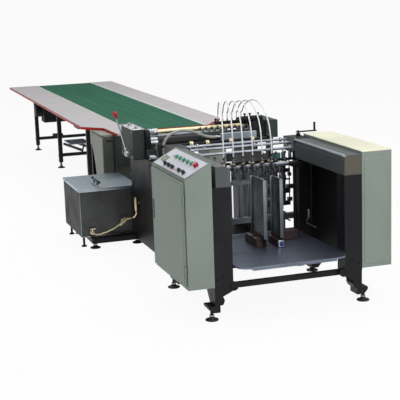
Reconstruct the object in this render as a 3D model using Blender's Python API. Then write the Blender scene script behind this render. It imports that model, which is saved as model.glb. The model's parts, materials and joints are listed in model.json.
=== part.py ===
"""A glue coating line for paper and board: a pile feeder, a gluing unit with its tank, and a belt table.

The line frame has X across the machine, seen from the feeder, Y along the run of the sheets and Z up.
Its zero lies on the floor, midway between the feeder's two front feet.
"""

import math

import bmesh
import bpy
from mathutils import Matrix, Vector

for old in list(bpy.data.objects):
    bpy.data.objects.remove(old, do_unlink=True)

# Seats between pieces that touch
GAP = 0.0003
RUNNING_GAP = 0.0006

# Feeder frame
FRAME_OUTER = 0.590
COLUMN_WIDE = 0.143
COLUMN_DEEP = 0.130
FRAME_FRONT = -0.030
FRAME_REAR = 0.950
FRAME_LOW = 0.245
FRAME_TOP = 0.985
WEB_THICK = 0.025
FOOT_LOW = 0.057
FOOT_FLANGE = 0.050
FLANGE_TOP = 0.110
PAD_OUT = 0.020
LOBE_RADIUS = 0.034
FLARE = 0.110
ARM_REACH = 0.190
ARM_LOW = 1.020
COVER_HIGH = 0.150
COVER_REAR = 0.900
COVER_INSET_LEFT = 0.030
TIE_LOW = 0.217
TIE_HIGH = 0.258
CRANK_INSET = 0.035
CRANK_REACH = 0.147

# Levelling feet
PAD_RADIUS = 0.048
PAD_HIGH = 0.022
STEM_RADIUS = 0.012

# Drive housing on the right of the feeder
HOUSING_WIDE = 0.247
HOUSING_REAR = 1.050
HOUSING_LOW = 0.262
HOUSING_TOP = 1.155

# Control cabinet on the left of the feeder
CABINET_WIDE = 0.200
CABINET_REAR = 0.800
CABINET_LOW = 0.250
CABINET_LEFT_TOP = 1.060
CABINET_RIGHT_TOP = 1.165
CABINET_WALL = 0.015
DOOR_THICK = 0.018
DOOR_MARGIN = 0.022
PANEL_THICK = 0.004

# Pile table and its stops
PILE_HALF = 0.435
PILE_FRONT = -0.140
PILE_REAR = 0.885
PILE_TOP = 0.400
PILE_THICK = 0.012
PILE_CORNER = 0.090
GUIDE_TOP = 0.930
GUIDE_THICK = 0.010
GUIDE_BARS = 6
GUIDE_BAR_FIRST_X = -0.400
GUIDE_BAR_PITCH = 0.094
LIFT_ROD_RADIUS = 0.014
LIFT_ROD_X = 0.395
LIFT_ROD_Y = 0.790
SLEEVE_RADIUS = 0.026
SLEEVE_HIGH = 0.060

# Suction head
SUCKER_BAR_Y = 0.860
SUCKER_BAR_Z = 0.950
SUCKER_BAR_RADIUS = 0.018
SUCKERS = 6
SUCKER_FIRST_X = -0.195
SUCKER_PITCH = 0.082
SUCKER_AHEAD = 0.032
SUCKER_LOW = 0.085
SUCKER_TOP = 1.030
HOSE_RADIUS = 0.0055
HOSE_REAR_Y = 2.182
HOSE_REAR_X = 0.235
HOSE_REAR_PITCH = 0.045
HOSE_REAR_Z = 1.170

# Gluing unit
UNIT_MID = 0.055
BASE_HALF = 0.550
BASE_FRONT = 1.100
BASE_REAR = 2.650
BASE_LOW = 0.055
BASE_HIGH = 0.050
UNIT_FRONT = 2.000
UNIT_REAR = 2.400
PLATE_THICK = 0.040
PLATE_INNER = 0.530
GLUE_ROLLER_RADIUS = 0.048
GLUE_ROLLER_Z = 1.030
GLUE_ROLLER_Y = 2.030
BRASS_ROLLER_RADIUS = 0.021
BRASS_ROLLER_Z = 1.112
BRASS_ROLLER_Y = 2.085
FEED_SHAFT_Y = 1.620
FEED_SHAFT_Z = 1.050
PLATE_TOP = 1.148
FRONT_PLATE_TOP = 0.890
JOURNAL_RADIUS = 0.012
BRASS_START = 0.095
COLLAR_RADIUS = 0.030
SEAT_DEPTH = 0.002
FEED_WHEELS = (-0.209, -0.064, 0.150, 0.350)
FEED_WHEEL_RADIUS = 0.023
HOUSING_LEFT_WIDE = 0.110
GEAR_BOX_WIDE = 0.105
HOUSING_RIGHT_WIDE = 0.115
STRIPPER_Y = 1.970
STRIPPER_Z = 1.090
FINGERS = 9
FINGER_FIRST_X = 0.020
FINGER_PITCH = 0.055
INLET_Y = 1.890
INLET_Z = 1.055
ELBOW_X = -0.386
ELBOW_TOP = 0.930
GLUE_HOSE_RADIUS = 0.013
DECK_Z = 0.925
LEVER_LEAN = 0.124
LEVER_RISE = 0.360

# Glue tank
TANK_LEFT = -1.010
TANK_WIDE = 0.560
TANK_FRONT = 2.560
TANK_DEEP = 0.720
TANK_HIGH = 0.450
TANK_WALL = 0.004
LID_THICK = 0.004

# Belt table
TABLE_TOP = 0.940
TABLE_NEAR = 3.500
TABLE_FAR = 8.860
BELT_MID = 0.150
BELT_HALF = 0.380
BELT_THICK = 0.004
STRIP_LEFT = 0.020
STRIP_RIGHT = 0.050
BED_THICK = 0.012
BED_DEEP = 0.150
BED_WALL = 0.005
END_ROLLER_RADIUS = 0.042
LEFT_EDGE = -0.640
RIGHT_EDGE = 0.860
BOARD_THICK = 0.022
EDGE_THICK = 0.006
LEG_SIZE = 0.050
LEG_FROM_END = (3.510, 1.750, 0.040)
LEG_OUT = 0.015
COVER_WIDE = 0.304
HEAD_COVER_DEEP = 0.540
HEAD_COVER_WAIST = 0.260
HEAD_COVER_BEND = 0.760
CLUTCH_LOW = 0.600
DRIVE_BOX_LOW = 0.672
DRIVE_BOX_FROM_END = (2.450, 0.020)
AXLE_IN = 0.055
END_SPACE = 0.115
LEG_LOW = 0.075
CROSS_LOW = 0.150
CROSS_HIGH = 0.190


def finish(name, colour, roughness, metallic=0.0):
    material = bpy.data.materials.new(name)
    material.use_nodes = True
    shader = material.node_tree.nodes["Principled BSDF"]
    shader.inputs["Base Color"].default_value = (*colour, 1.0)
    shader.inputs["Roughness"].default_value = roughness
    shader.inputs["Metallic"].default_value = metallic
    return material


line = bpy.data.objects.new("line_frame", None)
bpy.context.scene.collection.objects.link(line)


def placed(name, mesh_data, at, material):
    """An object of its own at a point of the line frame."""
    made = bpy.data.objects.new(name, mesh_data)
    bpy.context.scene.collection.objects.link(made)
    made.parent = line
    made.location = at
    if material is not None:
        mesh_data.materials.append(material)
    return made


def solid(name, shape, at, material=None, smooth=False):
    """A mesh object from a bmesh whose points are measured from the given place."""
    bmesh.ops.recalc_face_normals(shape, faces=shape.faces)
    mesh_data = bpy.data.meshes.new(name)
    shape.to_mesh(mesh_data)
    shape.free()
    if smooth:
        mesh_data.shade_smooth()
        mesh_data.set_sharp_from_angle(angle=math.radians(35))
    return placed(name, mesh_data, at, material)


def box(name, low, high, material=None, round_edge=0.0):
    low, high = Vector(low), Vector(high)
    shape = bmesh.new()
    bmesh.ops.create_cube(shape, size=1.0)
    bmesh.ops.scale(shape, vec=high - low, verts=shape.verts)
    made = solid(name, shape, (low + high) / 2, material)
    if round_edge:
        soften(made, round_edge)
    return made


def soften(made, width, segments=2):
    bevel = made.modifiers.new("Soft edges", "BEVEL")
    bevel.width = width
    bevel.segments = segments
    bevel.limit_method = "ANGLE"
    bevel.angle_limit = math.radians(40)


TURN = {
    "X": Matrix(((0, 0, 1), (1, 0, 0), (0, 1, 0))),
    "Y": Matrix(((1, 0, 0), (0, 0, 1), (0, 1, 0))),
    "Z": Matrix.Identity(3),
}


def prism(name, outline, axis, start, end, material=None):
    """A closed outline swept along X, Y or Z. On X it is read as (y, z), on Y as (x, z)."""
    shape = bmesh.new()
    corners = [shape.verts.new((a, b, start)) for a, b in outline]
    base = shape.faces.new(corners)
    swept = bmesh.ops.extrude_face_region(shape, geom=[base])
    top = [part for part in swept["geom"] if isinstance(part, bmesh.types.BMVert)]
    bmesh.ops.translate(shape, verts=top, vec=(0, 0, end - start))
    bmesh.ops.transform(shape, matrix=TURN[axis].to_4x4(), verts=shape.verts)
    return solid(name, shape, (0, 0, 0), material)


def rod(name, start, end, radius, material=None, sides=20):
    """A round bar from one point to another, with its origin at the start."""
    start, end = Vector(start), Vector(end)
    way = end - start
    shape = bmesh.new()
    bmesh.ops.create_cone(
        shape, cap_ends=True, segments=sides, radius1=radius, radius2=radius, depth=way.length
    )
    bmesh.ops.translate(shape, verts=shape.verts, vec=(0, 0, way.length / 2))
    turn = way.to_track_quat("Z", "Y").to_matrix().to_4x4()
    bmesh.ops.transform(shape, matrix=turn, verts=shape.verts)
    return solid(name, shape, start, material, smooth=True)


def turned(name, profile, at, material=None, sides=24, axis="Z"):
    """A shape turned about its axis from (radius, height) points, the first and last on the axis."""
    shape = bmesh.new()
    points = [shape.verts.new((radius, 0, height)) for radius, height in profile]
    edges = [shape.edges.new(pair) for pair in zip(points, points[1:])]
    bmesh.ops.spin(
        shape, geom=points + edges, cent=(0, 0, 0), axis=(0, 0, 1),
        angle=math.tau, steps=sides, use_duplicate=False,
    )
    bmesh.ops.remove_doubles(shape, verts=shape.verts, dist=0.00001)
    bmesh.ops.transform(shape, matrix=TURN[axis].to_4x4(), verts=shape.verts)
    return solid(name, shape, at, material, smooth=True)


def combine(target, operation, others):
    for other in others:
        step = target.modifiers.new(operation.title() + " " + other.name, "BOOLEAN")
        step.operation = operation
        step.object = other
        other.hide_render = True
        other.display_type = "WIRE"
    return target


def unite(target, *others):
    return combine(target, "UNION", others)


def cut(target, *others):
    return combine(target, "DIFFERENCE", others)


def hose(name, points, radius, material, per_span=2):
    """A tube along a smooth curve through its route's points."""
    route = [Vector(point) for point in points]
    ends = [2 * route[0] - route[1]] + route + [2 * route[-1] - route[-2]]
    path = []
    for a, b, c, d in zip(ends, ends[1:], ends[2:], ends[3:]):
        for step in range(per_span):
            t = step / per_span
            path.append(
                0.5 * ((2 * b) + (c - a) * t + (2 * a - 5 * b + 4 * c - d) * t * t
                       + (3 * b - a - 3 * c + d) * t * t * t)
            )
    path.append(route[-1])
    curve = bpy.data.curves.new(name, "CURVE")
    curve.dimensions = "3D"
    curve.bevel_depth = radius
    curve.bevel_resolution = 2
    curve.use_fill_caps = True
    spline = curve.splines.new("POLY")
    spline.points.add(len(path) - 1)
    for point, place in zip(spline.points, path):
        point.co = (*place, 1.0)
    return placed(name, curve, (0, 0, 0), material)


def levelling_foot(name, x, y, top):
    """A turned pad with its threaded stem, standing on the floor and reaching into what it carries."""
    profile = (
        (0, 0), (PAD_RADIUS, 0), (PAD_RADIUS, PAD_HIGH * 0.3), (PAD_RADIUS * 0.45, PAD_HIGH * 0.7),
        (STEM_RADIUS * 1.6, PAD_HIGH), (STEM_RADIUS, PAD_HIGH * 1.1), (STEM_RADIUS, top), (0, top),
    )
    return turned(name, profile, (x, y, 0), sides=14)


sage = finish("sage_enamel", (0.45, 0.54, 0.47), 0.4)
black = finish("black_enamel", (0.02, 0.02, 0.025), 0.45)
grey = finish("grey_enamel", (0.2, 0.21, 0.2), 0.4)
steel = finish("bright_steel", (0.55, 0.56, 0.58), 0.25, 1.0)
slate = finish("slate_steel", (0.25, 0.28, 0.35), 0.3, 1.0)
white = finish("white_panel", (0.75, 0.76, 0.8), 0.4)
stainless = finish("stainless", (0.5, 0.5, 0.48), 0.3, 1.0)
brass = finish("brass", (0.75, 0.6, 0.3), 0.3, 1.0)
green = finish("green_belt", (0.03, 0.18, 0.09), 0.7)
board = finish("laminate", (0.62, 0.58, 0.58), 0.5)
red = finish("red_edging", (0.55, 0.04, 0.03), 0.45)
clear = finish("clear_tube", (0.8, 0.82, 0.82), 0.3)
glue_grey = finish("glue_tube", (0.45, 0.45, 0.42), 0.4)

column_inner = FRAME_OUTER - COLUMN_WIDE
unit_left = UNIT_MID - PLATE_INNER
unit_right = UNIT_MID + 0.435


def feeder_side(side, name):
    """The cast side of the feeder: a web with a front and a rear column, shaped feet and a top arm."""
    outer = FRAME_OUTER
    inner = column_inner

    def across(a, b):
        return sorted((side * a, side * b))

    left, right = across(inner, outer)
    foot_outline = [
        (outer, FRAME_LOW + 0.030), (outer, FLANGE_TOP), (outer + FOOT_FLANGE, FLANGE_TOP),
        (outer + FOOT_FLANGE, FLANGE_TOP - 0.018), (outer + PAD_OUT, FOOT_LOW), (outer - 0.040, FOOT_LOW),
        (outer - 0.040, FLANGE_TOP), (outer - 0.064, FLANGE_TOP + 0.004), (outer - 0.076, FLANGE_TOP + 0.033),
        (outer - 0.064, FLANGE_TOP + 0.065), (outer - 0.128, TIE_LOW - 0.014), (inner, TIE_LOW - 0.006),
        (inner, FRAME_LOW + 0.030),
    ]
    foot_outline = [(side * x, z) for x, z in foot_outline]
    front = box(name, (left, FRAME_FRONT, FRAME_LOW), (right, FRAME_FRONT + COLUMN_DEEP, FRAME_TOP), black)
    rear = box(name + "_rear", (left, FRAME_REAR - COLUMN_DEEP, FRAME_LOW), (right, FRAME_REAR, FRAME_TOP))
    web_low, web_high = across(outer - WEB_THICK, outer)
    web = box(
        name + "_web", (web_low, FRAME_FRONT + 0.01, FRAME_LOW), (web_high, FRAME_REAR - 0.01, FRAME_TOP - 0.01)
    )
    arm = box(
        name + "_arm",
        (left, FRAME_REAR - COLUMN_DEEP, FRAME_TOP - 0.02), (right, FRAME_REAR + ARM_REACH, COVER_HIGH + FRAME_TOP),
    )
    rest = box(
        name + "_rest",
        (left - 0.01, FRAME_REAR - COLUMN_DEEP - 0.5, FRAME_TOP),
        (right + 0.01, COVER_REAR + GAP, COVER_HIGH + FRAME_TOP + 0.02),
    )
    clear_under = box(
        name + "_under", (left - 0.01, FRAME_REAR, FRAME_TOP - 0.1), (right + 0.01, FRAME_REAR + 0.3, ARM_LOW)
    )
    cut(arm, rest, clear_under)
    feet = []
    foot_deep = COLUMN_DEEP - 0.010
    for order, (y, back) in enumerate(((FRAME_FRONT + 0.005, 1), (FRAME_REAR - 0.005, -1))):
        tag = name + "_foot_" + str(order)
        start, end = sorted((y, y + back * foot_deep))
        feet.append(prism(tag, foot_outline, "Y", start, end))
        flare = [
            (y, FRAME_LOW + 0.015), (y, FLANGE_TOP), (y + back * foot_deep, FLANGE_TOP),
            (y + back * (foot_deep + FLARE), FRAME_LOW), (y + back * (foot_deep + FLARE), FRAME_LOW + 0.015),
        ]
        feet.append(prism(tag + "_flare", flare, "X", *across(outer - 0.060, outer)))
        lobe_start, lobe_end = sorted((y - back * 0.004, y + back * 0.020))
        lobe_x, lobe_z = side * (inner - 0.008), (TIE_LOW + TIE_HIGH) / 2 + 0.006
        feet.append(rod(tag + "_lobe", (lobe_x, lobe_start, lobe_z), (lobe_x, lobe_end, lobe_z), LOBE_RADIUS))
    pads = []
    for order, y in enumerate((0.0, FRAME_REAR)):
        pads.append(levelling_foot(name + "_pad_" + str(order), side * (outer + PAD_OUT), y, FOOT_LOW + 0.030))
    lift_rod = rod(
        name + "_lift_rod", (side * LIFT_ROD_X, LIFT_ROD_Y, FRAME_LOW + 0.03),
        (side * LIFT_ROD_X, LIFT_ROD_Y, FRAME_TOP - 0.03), LIFT_ROD_RADIUS,
    )
    lugs = []
    for order, z in enumerate((FRAME_LOW + 0.01, FRAME_TOP - 0.05)):
        lug_low, lug_high = across(LIFT_ROD_X - 0.025, inner + 0.02)
        lugs.append(
            box(name + "_lug_" + str(order), (lug_low, LIFT_ROD_Y - 0.03, z), (lug_high, LIFT_ROD_Y + 0.05, z + 0.03))
        )
    return unite(front, rear, web, arm, *feet, *pads, *lugs, lift_rod)


left_side = feeder_side(-1, "feeder_side_left")
right_side = feeder_side(1, "feeder_side_right")

box(
    "front_tie_bar",
    (-column_inner + GAP, FRAME_FRONT + 0.040, TIE_LOW), (column_inner - GAP, FRAME_FRONT + 0.080, TIE_HIGH),
    black, 0.004,
)

for side, name, cover_outer in (
    (-1, "side_cover_left", FRAME_OUTER - COVER_INSET_LEFT), (1, "side_cover_right", FRAME_OUTER),
):
    inner = column_inner
    low = FRAME_TOP + GAP
    high = FRAME_TOP + COVER_HIGH
    outline = [
        (inner, low), (cover_outer, low), (cover_outer, high), (inner + 0.035, high),
        (inner + 0.008, high - 0.018), (inner, high - 0.035),
    ]
    prism(name, [(side * x, z) for x, z in outline], "Y", FRAME_FRONT, COVER_REAR, grey)

box(
    "drive_housing",
    (FRAME_OUTER + GAP, FRAME_FRONT, HOUSING_LOW),
    (FRAME_OUTER + GAP + HOUSING_WIDE, HOUSING_REAR, HOUSING_TOP),
    sage, 0.004,
)

# A hand crank on the right arm, with an upright grip
crank_at = Vector((FRAME_OUTER - CRANK_INSET, FRAME_REAR + 0.125, FRAME_TOP + COVER_HIGH))
collar = rod("crank_collar", crank_at + Vector((0, 0, -0.004)), crank_at + Vector((0, 0, 0.020)), 0.018, sides=16)
collar_bore = rod(
    "crank_bore", crank_at + Vector((0, 0, -0.030)), crank_at + Vector((0, 0, 0.060)), 0.008 + RUNNING_GAP, sides=16
)
unite(right_side, collar)
cut(right_side, collar_bore)
crank = box(
    "hand_crank", crank_at + Vector((-0.018, -0.012, 0.028)),
    crank_at + Vector((CRANK_REACH + 0.016, 0.012, 0.038)), black, 0.002,
)
crank_grip = rod(
    "crank_grip", crank_at + Vector((CRANK_REACH, 0, 0.033)),
    crank_at + Vector((CRANK_REACH, 0, 0.105)), 0.009, sides=12,
)
crank_pin = rod("crank_pin", crank_at + Vector((0, 0, -0.025)), crank_at + Vector((0, 0, 0.045)), 0.008, sides=16)
unite(crank, crank_grip, crank_pin)

# The cabinet is a shell that is open on its left face, under a sloped top
cabinet_left = -FRAME_OUTER - GAP - CABINET_WIDE
cabinet_right = -FRAME_OUTER - GAP
cabinet_outline = [
    (cabinet_left, CABINET_LOW), (cabinet_right, CABINET_LOW),
    (cabinet_right, CABINET_RIGHT_TOP), (cabinet_left, CABINET_LEFT_TOP),
]
cabinet = prism("control_cabinet", cabinet_outline, "Y", FRAME_FRONT, CABINET_REAR, sage)
lip = DOOR_MARGIN + 0.01
hollow = box(
    "cabinet_hollow", (cabinet_left - 0.1, FRAME_FRONT + lip, CABINET_LOW + lip),
    (cabinet_right - CABINET_WALL, CABINET_REAR - lip, CABINET_LEFT_TOP - lip),
)
cut(cabinet, hollow)
box(
    "cabinet_door",
    (cabinet_left - GAP - DOOR_THICK, FRAME_FRONT + DOOR_MARGIN, CABINET_LOW + DOOR_MARGIN),
    (cabinet_left - GAP, CABINET_REAR - DOOR_MARGIN, CABINET_LEFT_TOP - DOOR_MARGIN),
    sage, 0.003,
)

slope = math.atan2(CABINET_RIGHT_TOP - CABINET_LEFT_TOP, CABINET_WIDE)
panel_long = CABINET_WIDE / math.cos(slope)
panel_shape = bmesh.new()
bmesh.ops.create_cube(panel_shape, size=1.0)
bmesh.ops.scale(
    panel_shape, vec=(panel_long - 0.008, CABINET_REAR - FRAME_FRONT - 0.02, PANEL_THICK), verts=panel_shape.verts
)
bmesh.ops.rotate(panel_shape, verts=panel_shape.verts, cent=(0, 0, 0), matrix=Matrix.Rotation(-slope, 3, "Y"))
panel_at = Vector((
    (cabinet_left + cabinet_right) / 2, (FRAME_FRONT + CABINET_REAR) / 2,
    (CABINET_LEFT_TOP + CABINET_RIGHT_TOP) / 2,
))
panel_up = Vector((-math.sin(slope), 0, math.cos(slope)))
control_panel = solid("control_panel", panel_shape, panel_at + panel_up * (PANEL_THICK / 2 + GAP), white)


def panel_point(along, across, out):
    """A point on the sloped panel: along Y from its middle, across it towards the feeder, and out of it."""
    cross = Vector((math.cos(slope), 0, math.sin(slope)))
    return panel_at + Vector((0, along, 0)) + cross * across + panel_up * (PANEL_THICK + GAP + out)


buttons = []


def button(along, across, radius, high):
    """A round button or selector that stands on the panel."""
    foot = panel_point(along, across, -PANEL_THICK / 2)
    head = panel_point(along, across, high)
    buttons.append(rod("button_" + str(len(buttons)), foot, head, radius, sides=12))


for order in range(5):
    button(0.158 - order * 0.089, 0.034, 0.015, 0.016)
button(-0.300, 0.034, 0.020, 0.032)
for along in (0.166, 0.075, -0.017, -0.183, -0.282):
    button(along, -0.068, 0.013, 0.022)
unite(control_panel, *buttons)

# Pile table, which slides on the two lift rods
corner_points = []
for step in range(7):
    angle = math.radians(180 + 90 * step / 6)
    x = -PILE_HALF + PILE_CORNER * (1 + math.cos(angle))
    corner_points.append((x, PILE_FRONT + PILE_CORNER * (1 + math.sin(angle))))
pile_outline = [(-PILE_HALF, PILE_REAR)] + corner_points
pile_outline += [(-x, y) for x, y in reversed(pile_outline)]
pile = prism("pile_table", pile_outline, "Z", PILE_TOP - PILE_THICK, PILE_TOP, slate)
sleeves = []
bores = []
for side in (-1, 1):
    place = (side * LIFT_ROD_X, LIFT_ROD_Y)
    tag = "left" if side < 0 else "right"
    sleeves.append(
        rod("sleeve_" + tag, (*place, PILE_TOP - SLEEVE_HIGH), (*place, PILE_TOP - 0.002), SLEEVE_RADIUS)
    )
    bores.append(
        rod("sleeve_bore_" + tag, (*place, PILE_TOP - 0.2), (*place, PILE_TOP + 0.2), LIFT_ROD_RADIUS + RUNNING_GAP)
    )
beam = box(
    "pile_beam", (-LIFT_ROD_X, LIFT_ROD_Y - 0.02, PILE_TOP - 0.05), (LIFT_ROD_X, LIFT_ROD_Y + 0.02, PILE_TOP - 0.005)
)
unite(pile, *sleeves, beam)
cut(pile, *bores)


def pile_guide(name, low, high, sheet_front, sheet_rear, sheet_x, material):
    """A magnet block that stands on the pile table, long in Y, with an upright side sheet on it."""
    block = box(name, (low[0], low[1], PILE_TOP + GAP), (high[0], high[1], PILE_TOP + high[2]), material, 0.003)
    sheet = box(
        name + "_sheet", (sheet_x - GUIDE_THICK, sheet_front, PILE_TOP + 0.008), (sheet_x, sheet_rear, GUIDE_TOP)
    )
    seat = box(
        name + "_seat", (sheet_x - GUIDE_THICK - 0.012, low[1] + 0.030, PILE_TOP + 0.020),
        (sheet_x, high[1] - 0.010, PILE_TOP + high[2] + 0.020),
    )
    return unite(block, sheet, seat)


pile_guide("pile_stop_1", (-0.100, 0.390), (-0.036, 0.640, 0.068), 0.325, 0.600, -0.035, grey)
pile_guide("pile_stop_2", (0.055, 0.330), (0.099, 0.540, 0.056), 0.325, 0.520, 0.100, grey)
stop_block = box("pile_stop_3", (0.190, 0.540, PILE_TOP + GAP), (0.315, 0.640, PILE_TOP + 0.070), grey, 0.004)
stop_pin = rod("stop_pin", (0.215, 0.590, PILE_TOP + 0.060), (0.215, 0.590, PILE_TOP + 0.220), 0.010, sides=12)
unite(stop_block, stop_pin)

rear_guide = box(
    "rear_guide",
    (-column_inner + GAP, FRAME_REAR - 0.055, 0.480), (column_inner - GAP, FRAME_REAR - 0.015, 0.530), black, 0.003,
)
guide_bars = [box("guide_rail", (-0.420, FRAME_REAR - 0.046, 0.800), (0.100, FRAME_REAR - 0.030, 0.830))]
for order in range(GUIDE_BARS):
    x = GUIDE_BAR_FIRST_X + order * GUIDE_BAR_PITCH
    guide_bars.append(
        box("guide_bar_" + str(order), (x - 0.013, FRAME_REAR - 0.042, 0.510), (x + 0.013, FRAME_REAR - 0.034, 0.820))
    )
unite(rear_guide, *guide_bars)

# Three bright cross rods in two end plates
rod_places = ((1.080, 1.115), (0.990, 1.100), (0.930, 1.065))
end_plates = []
rods = []
for order, (y, z) in enumerate(rod_places):
    rods.append(
        rod("cross_rod_" + str(order), (-column_inner + 0.006, y, z), (column_inner - 0.006, y, z), 0.011, sides=16)
    )
plate_low, plate_high = 1.040, 1.130
cross_rods = box(
    "cross_rods", (-column_inner + GAP, 0.905, plate_low), (-column_inner + 0.012, 1.110, plate_high), steel
)
end_plates.append(
    box("cross_rods_right", (column_inner - 0.012, 0.905, plate_low), (column_inner - GAP, 1.110, plate_high))
)
unite(cross_rods, *end_plates, *rods)

sucker_bar = rod(
    "sucker_bar", (-column_inner + GAP, SUCKER_BAR_Y, SUCKER_BAR_Z), (column_inner - GAP, SUCKER_BAR_Y, SUCKER_BAR_Z),
    SUCKER_BAR_RADIUS, steel,
)
sucker_y = SUCKER_BAR_Y - SUCKER_AHEAD
tube_high = SUCKER_TOP - SUCKER_BAR_Z
sucker_profile = (
    (0, -SUCKER_LOW), (0.016, -SUCKER_LOW), (0.013, -0.070), (0.006, -0.060), (0.006, tube_high), (0, tube_high)
)
sucker_parts = []
for order in range(SUCKERS):
    x = SUCKER_FIRST_X + order * SUCKER_PITCH
    tag = str(order)
    clamp_low = (x - 0.014, sucker_y - 0.013, SUCKER_BAR_Z - 0.022)
    clamp_high = (x + 0.014, SUCKER_BAR_Y + 0.022, SUCKER_BAR_Z + 0.022)
    sucker_parts.append(box("clamp_" + tag, clamp_low, clamp_high))
    sucker_parts.append(turned("sucker_" + tag, sucker_profile, (x, sucker_y, SUCKER_BAR_Z), sides=12))
unite(sucker_bar, *sucker_parts)

# Gluing unit
base_top = BASE_LOW + BASE_HIGH
base_left, base_right = UNIT_MID - BASE_HALF, UNIT_MID + BASE_HALF
base = box("unit_base", (base_left, BASE_FRONT, BASE_LOW), (base_right, BASE_REAR, base_top), black, 0.004)
base_feet = []
for y in (BASE_FRONT + 0.070, BASE_REAR - 0.080):
    for x in (base_left + 0.020, base_right - 0.020):
        base_feet.append(levelling_foot("base_foot_" + str(len(base_feet)), x, y, BASE_LOW + 0.010))
unite(base, *base_feet)

plate_outline = [
    (1.480, base_top + GAP), (2.540, base_top + GAP), (2.540, 0.900), (UNIT_REAR + 0.020, 0.960),
    (UNIT_REAR, PLATE_TOP), (UNIT_FRONT - 0.030, PLATE_TOP), (UNIT_FRONT - 0.045, PLATE_TOP - 0.050),
    (UNIT_FRONT - 0.045, FRONT_PLATE_TOP),
    (FEED_SHAFT_Y + 0.040, FRONT_PLATE_TOP), (FEED_SHAFT_Y + 0.025, FEED_SHAFT_Z + 0.026),
    (FEED_SHAFT_Y - 0.025, FEED_SHAFT_Z + 0.026), (FEED_SHAFT_Y - 0.040, FRONT_PLATE_TOP), (1.480, FRONT_PLATE_TOP),
]
left_plate = prism("unit_side_left", plate_outline, "X", unit_left - PLATE_THICK, unit_left, black)
right_plate = prism("unit_side_right", plate_outline, "X", unit_right, unit_right + PLATE_THICK, black)
for plate, x in ((left_plate, unit_left), (right_plate, unit_right)):
    holes = []
    for y, z in (
        (GLUE_ROLLER_Y, GLUE_ROLLER_Z), (BRASS_ROLLER_Y, BRASS_ROLLER_Z), (FEED_SHAFT_Y, FEED_SHAFT_Z),
    ):
        name = plate.name + "_hole_" + str(len(holes))
        holes.append(rod(name, (x - 0.1, y, z), (x + 0.1, y, z), JOURNAL_RADIUS + RUNNING_GAP))
    cut(plate, *holes)


def roller(name, y, z, radius, material, inset=0.006, collar=None, sides=28):
    """A roller whose journals run in the two side plates, with a wider or narrower collar at its left."""
    barrel_left = unit_left + inset
    long = unit_right - inset - barrel_left
    reach = inset + PLATE_THICK - 0.004
    profile = [(0, -reach), (JOURNAL_RADIUS, -reach), (JOURNAL_RADIUS, 0)]
    if collar:
        profile += [(collar, 0), (collar, BRASS_START), (radius, BRASS_START)]
    else:
        profile += [(radius, 0)]
    profile += [(radius, long), (JOURNAL_RADIUS, long), (JOURNAL_RADIUS, long + reach), (0, long + reach)]
    return turned(name, profile, (barrel_left, y, z), material, sides=sides, axis="X")


roller("glue_roller", GLUE_ROLLER_Y, GLUE_ROLLER_Z, GLUE_ROLLER_RADIUS, black)
roller("brass_roller", BRASS_ROLLER_Y, BRASS_ROLLER_Z, BRASS_ROLLER_RADIUS, brass, collar=COLLAR_RADIUS)
feed = roller("feed_shaft", FEED_SHAFT_Y, FEED_SHAFT_Z, 0.014, black, sides=16)
wheels = []
for order, x in enumerate(FEED_WHEELS):
    start = (x - 0.016, FEED_SHAFT_Y, FEED_SHAFT_Z)
    end = (x + 0.016, FEED_SHAFT_Y, FEED_SHAFT_Z)
    wheels.append(rod("feed_wheel_" + str(order), start, end, FEED_WHEEL_RADIUS, sides=14))
unite(feed, *wheels)

housing_left_right = unit_left - PLATE_THICK - GAP
box(
    "unit_housing_left", (housing_left_right - HOUSING_LEFT_WIDE, UNIT_FRONT, 0.885),
    (housing_left_right, UNIT_REAR, 1.155), grey, 0.006,
)
plate_right = unit_right + PLATE_THICK
gear_box = box(
    "gear_box", (plate_right - SEAT_DEPTH, UNIT_FRONT + 0.020, 0.980),
    (plate_right + GEAR_BOX_WIDE, UNIT_REAR - 0.120, 1.155),
)
unite(right_plate, gear_box)
housing_right_left = plate_right + GEAR_BOX_WIDE + GAP
box(
    "unit_housing_right", (housing_right_left, UNIT_FRONT, 0.990),
    (housing_right_left + HOUSING_RIGHT_WIDE, UNIT_REAR, 1.145), grey, 0.006,
)
trough_outline = [
    (1.955, 0.930), (2.105, 0.930), (2.125, 1.000), (2.115, 1.000),
    (2.097, 0.942), (1.963, 0.942), (1.945, 1.000), (1.935, 1.000),
]
prism("glue_trough", trough_outline, "X", unit_left + GAP, unit_right - GAP, steel)

finger_rod = rod(
    "stripper_bar", (unit_left + GAP, STRIPPER_Y, STRIPPER_Z), (unit_right - GAP, STRIPPER_Y, STRIPPER_Z),
    0.008, black, sides=12,
)
finger_outline = [
    (STRIPPER_Y - 0.006, STRIPPER_Z - 0.002), (STRIPPER_Y + 0.006, STRIPPER_Z - 0.006),
    (STRIPPER_Y + 0.074, STRIPPER_Z + 0.018), (STRIPPER_Y + 0.088, STRIPPER_Z + 0.040),
    (STRIPPER_Y + 0.080, STRIPPER_Z + 0.043), (STRIPPER_Y, STRIPPER_Z + 0.010),
]
fingers = []
for order in range(FINGERS):
    x = FINGER_FIRST_X + order * FINGER_PITCH
    fingers.append(prism("finger_" + str(order), finger_outline, "X", x - 0.004, x + 0.004))
unite(finger_rod, *fingers)

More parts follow.
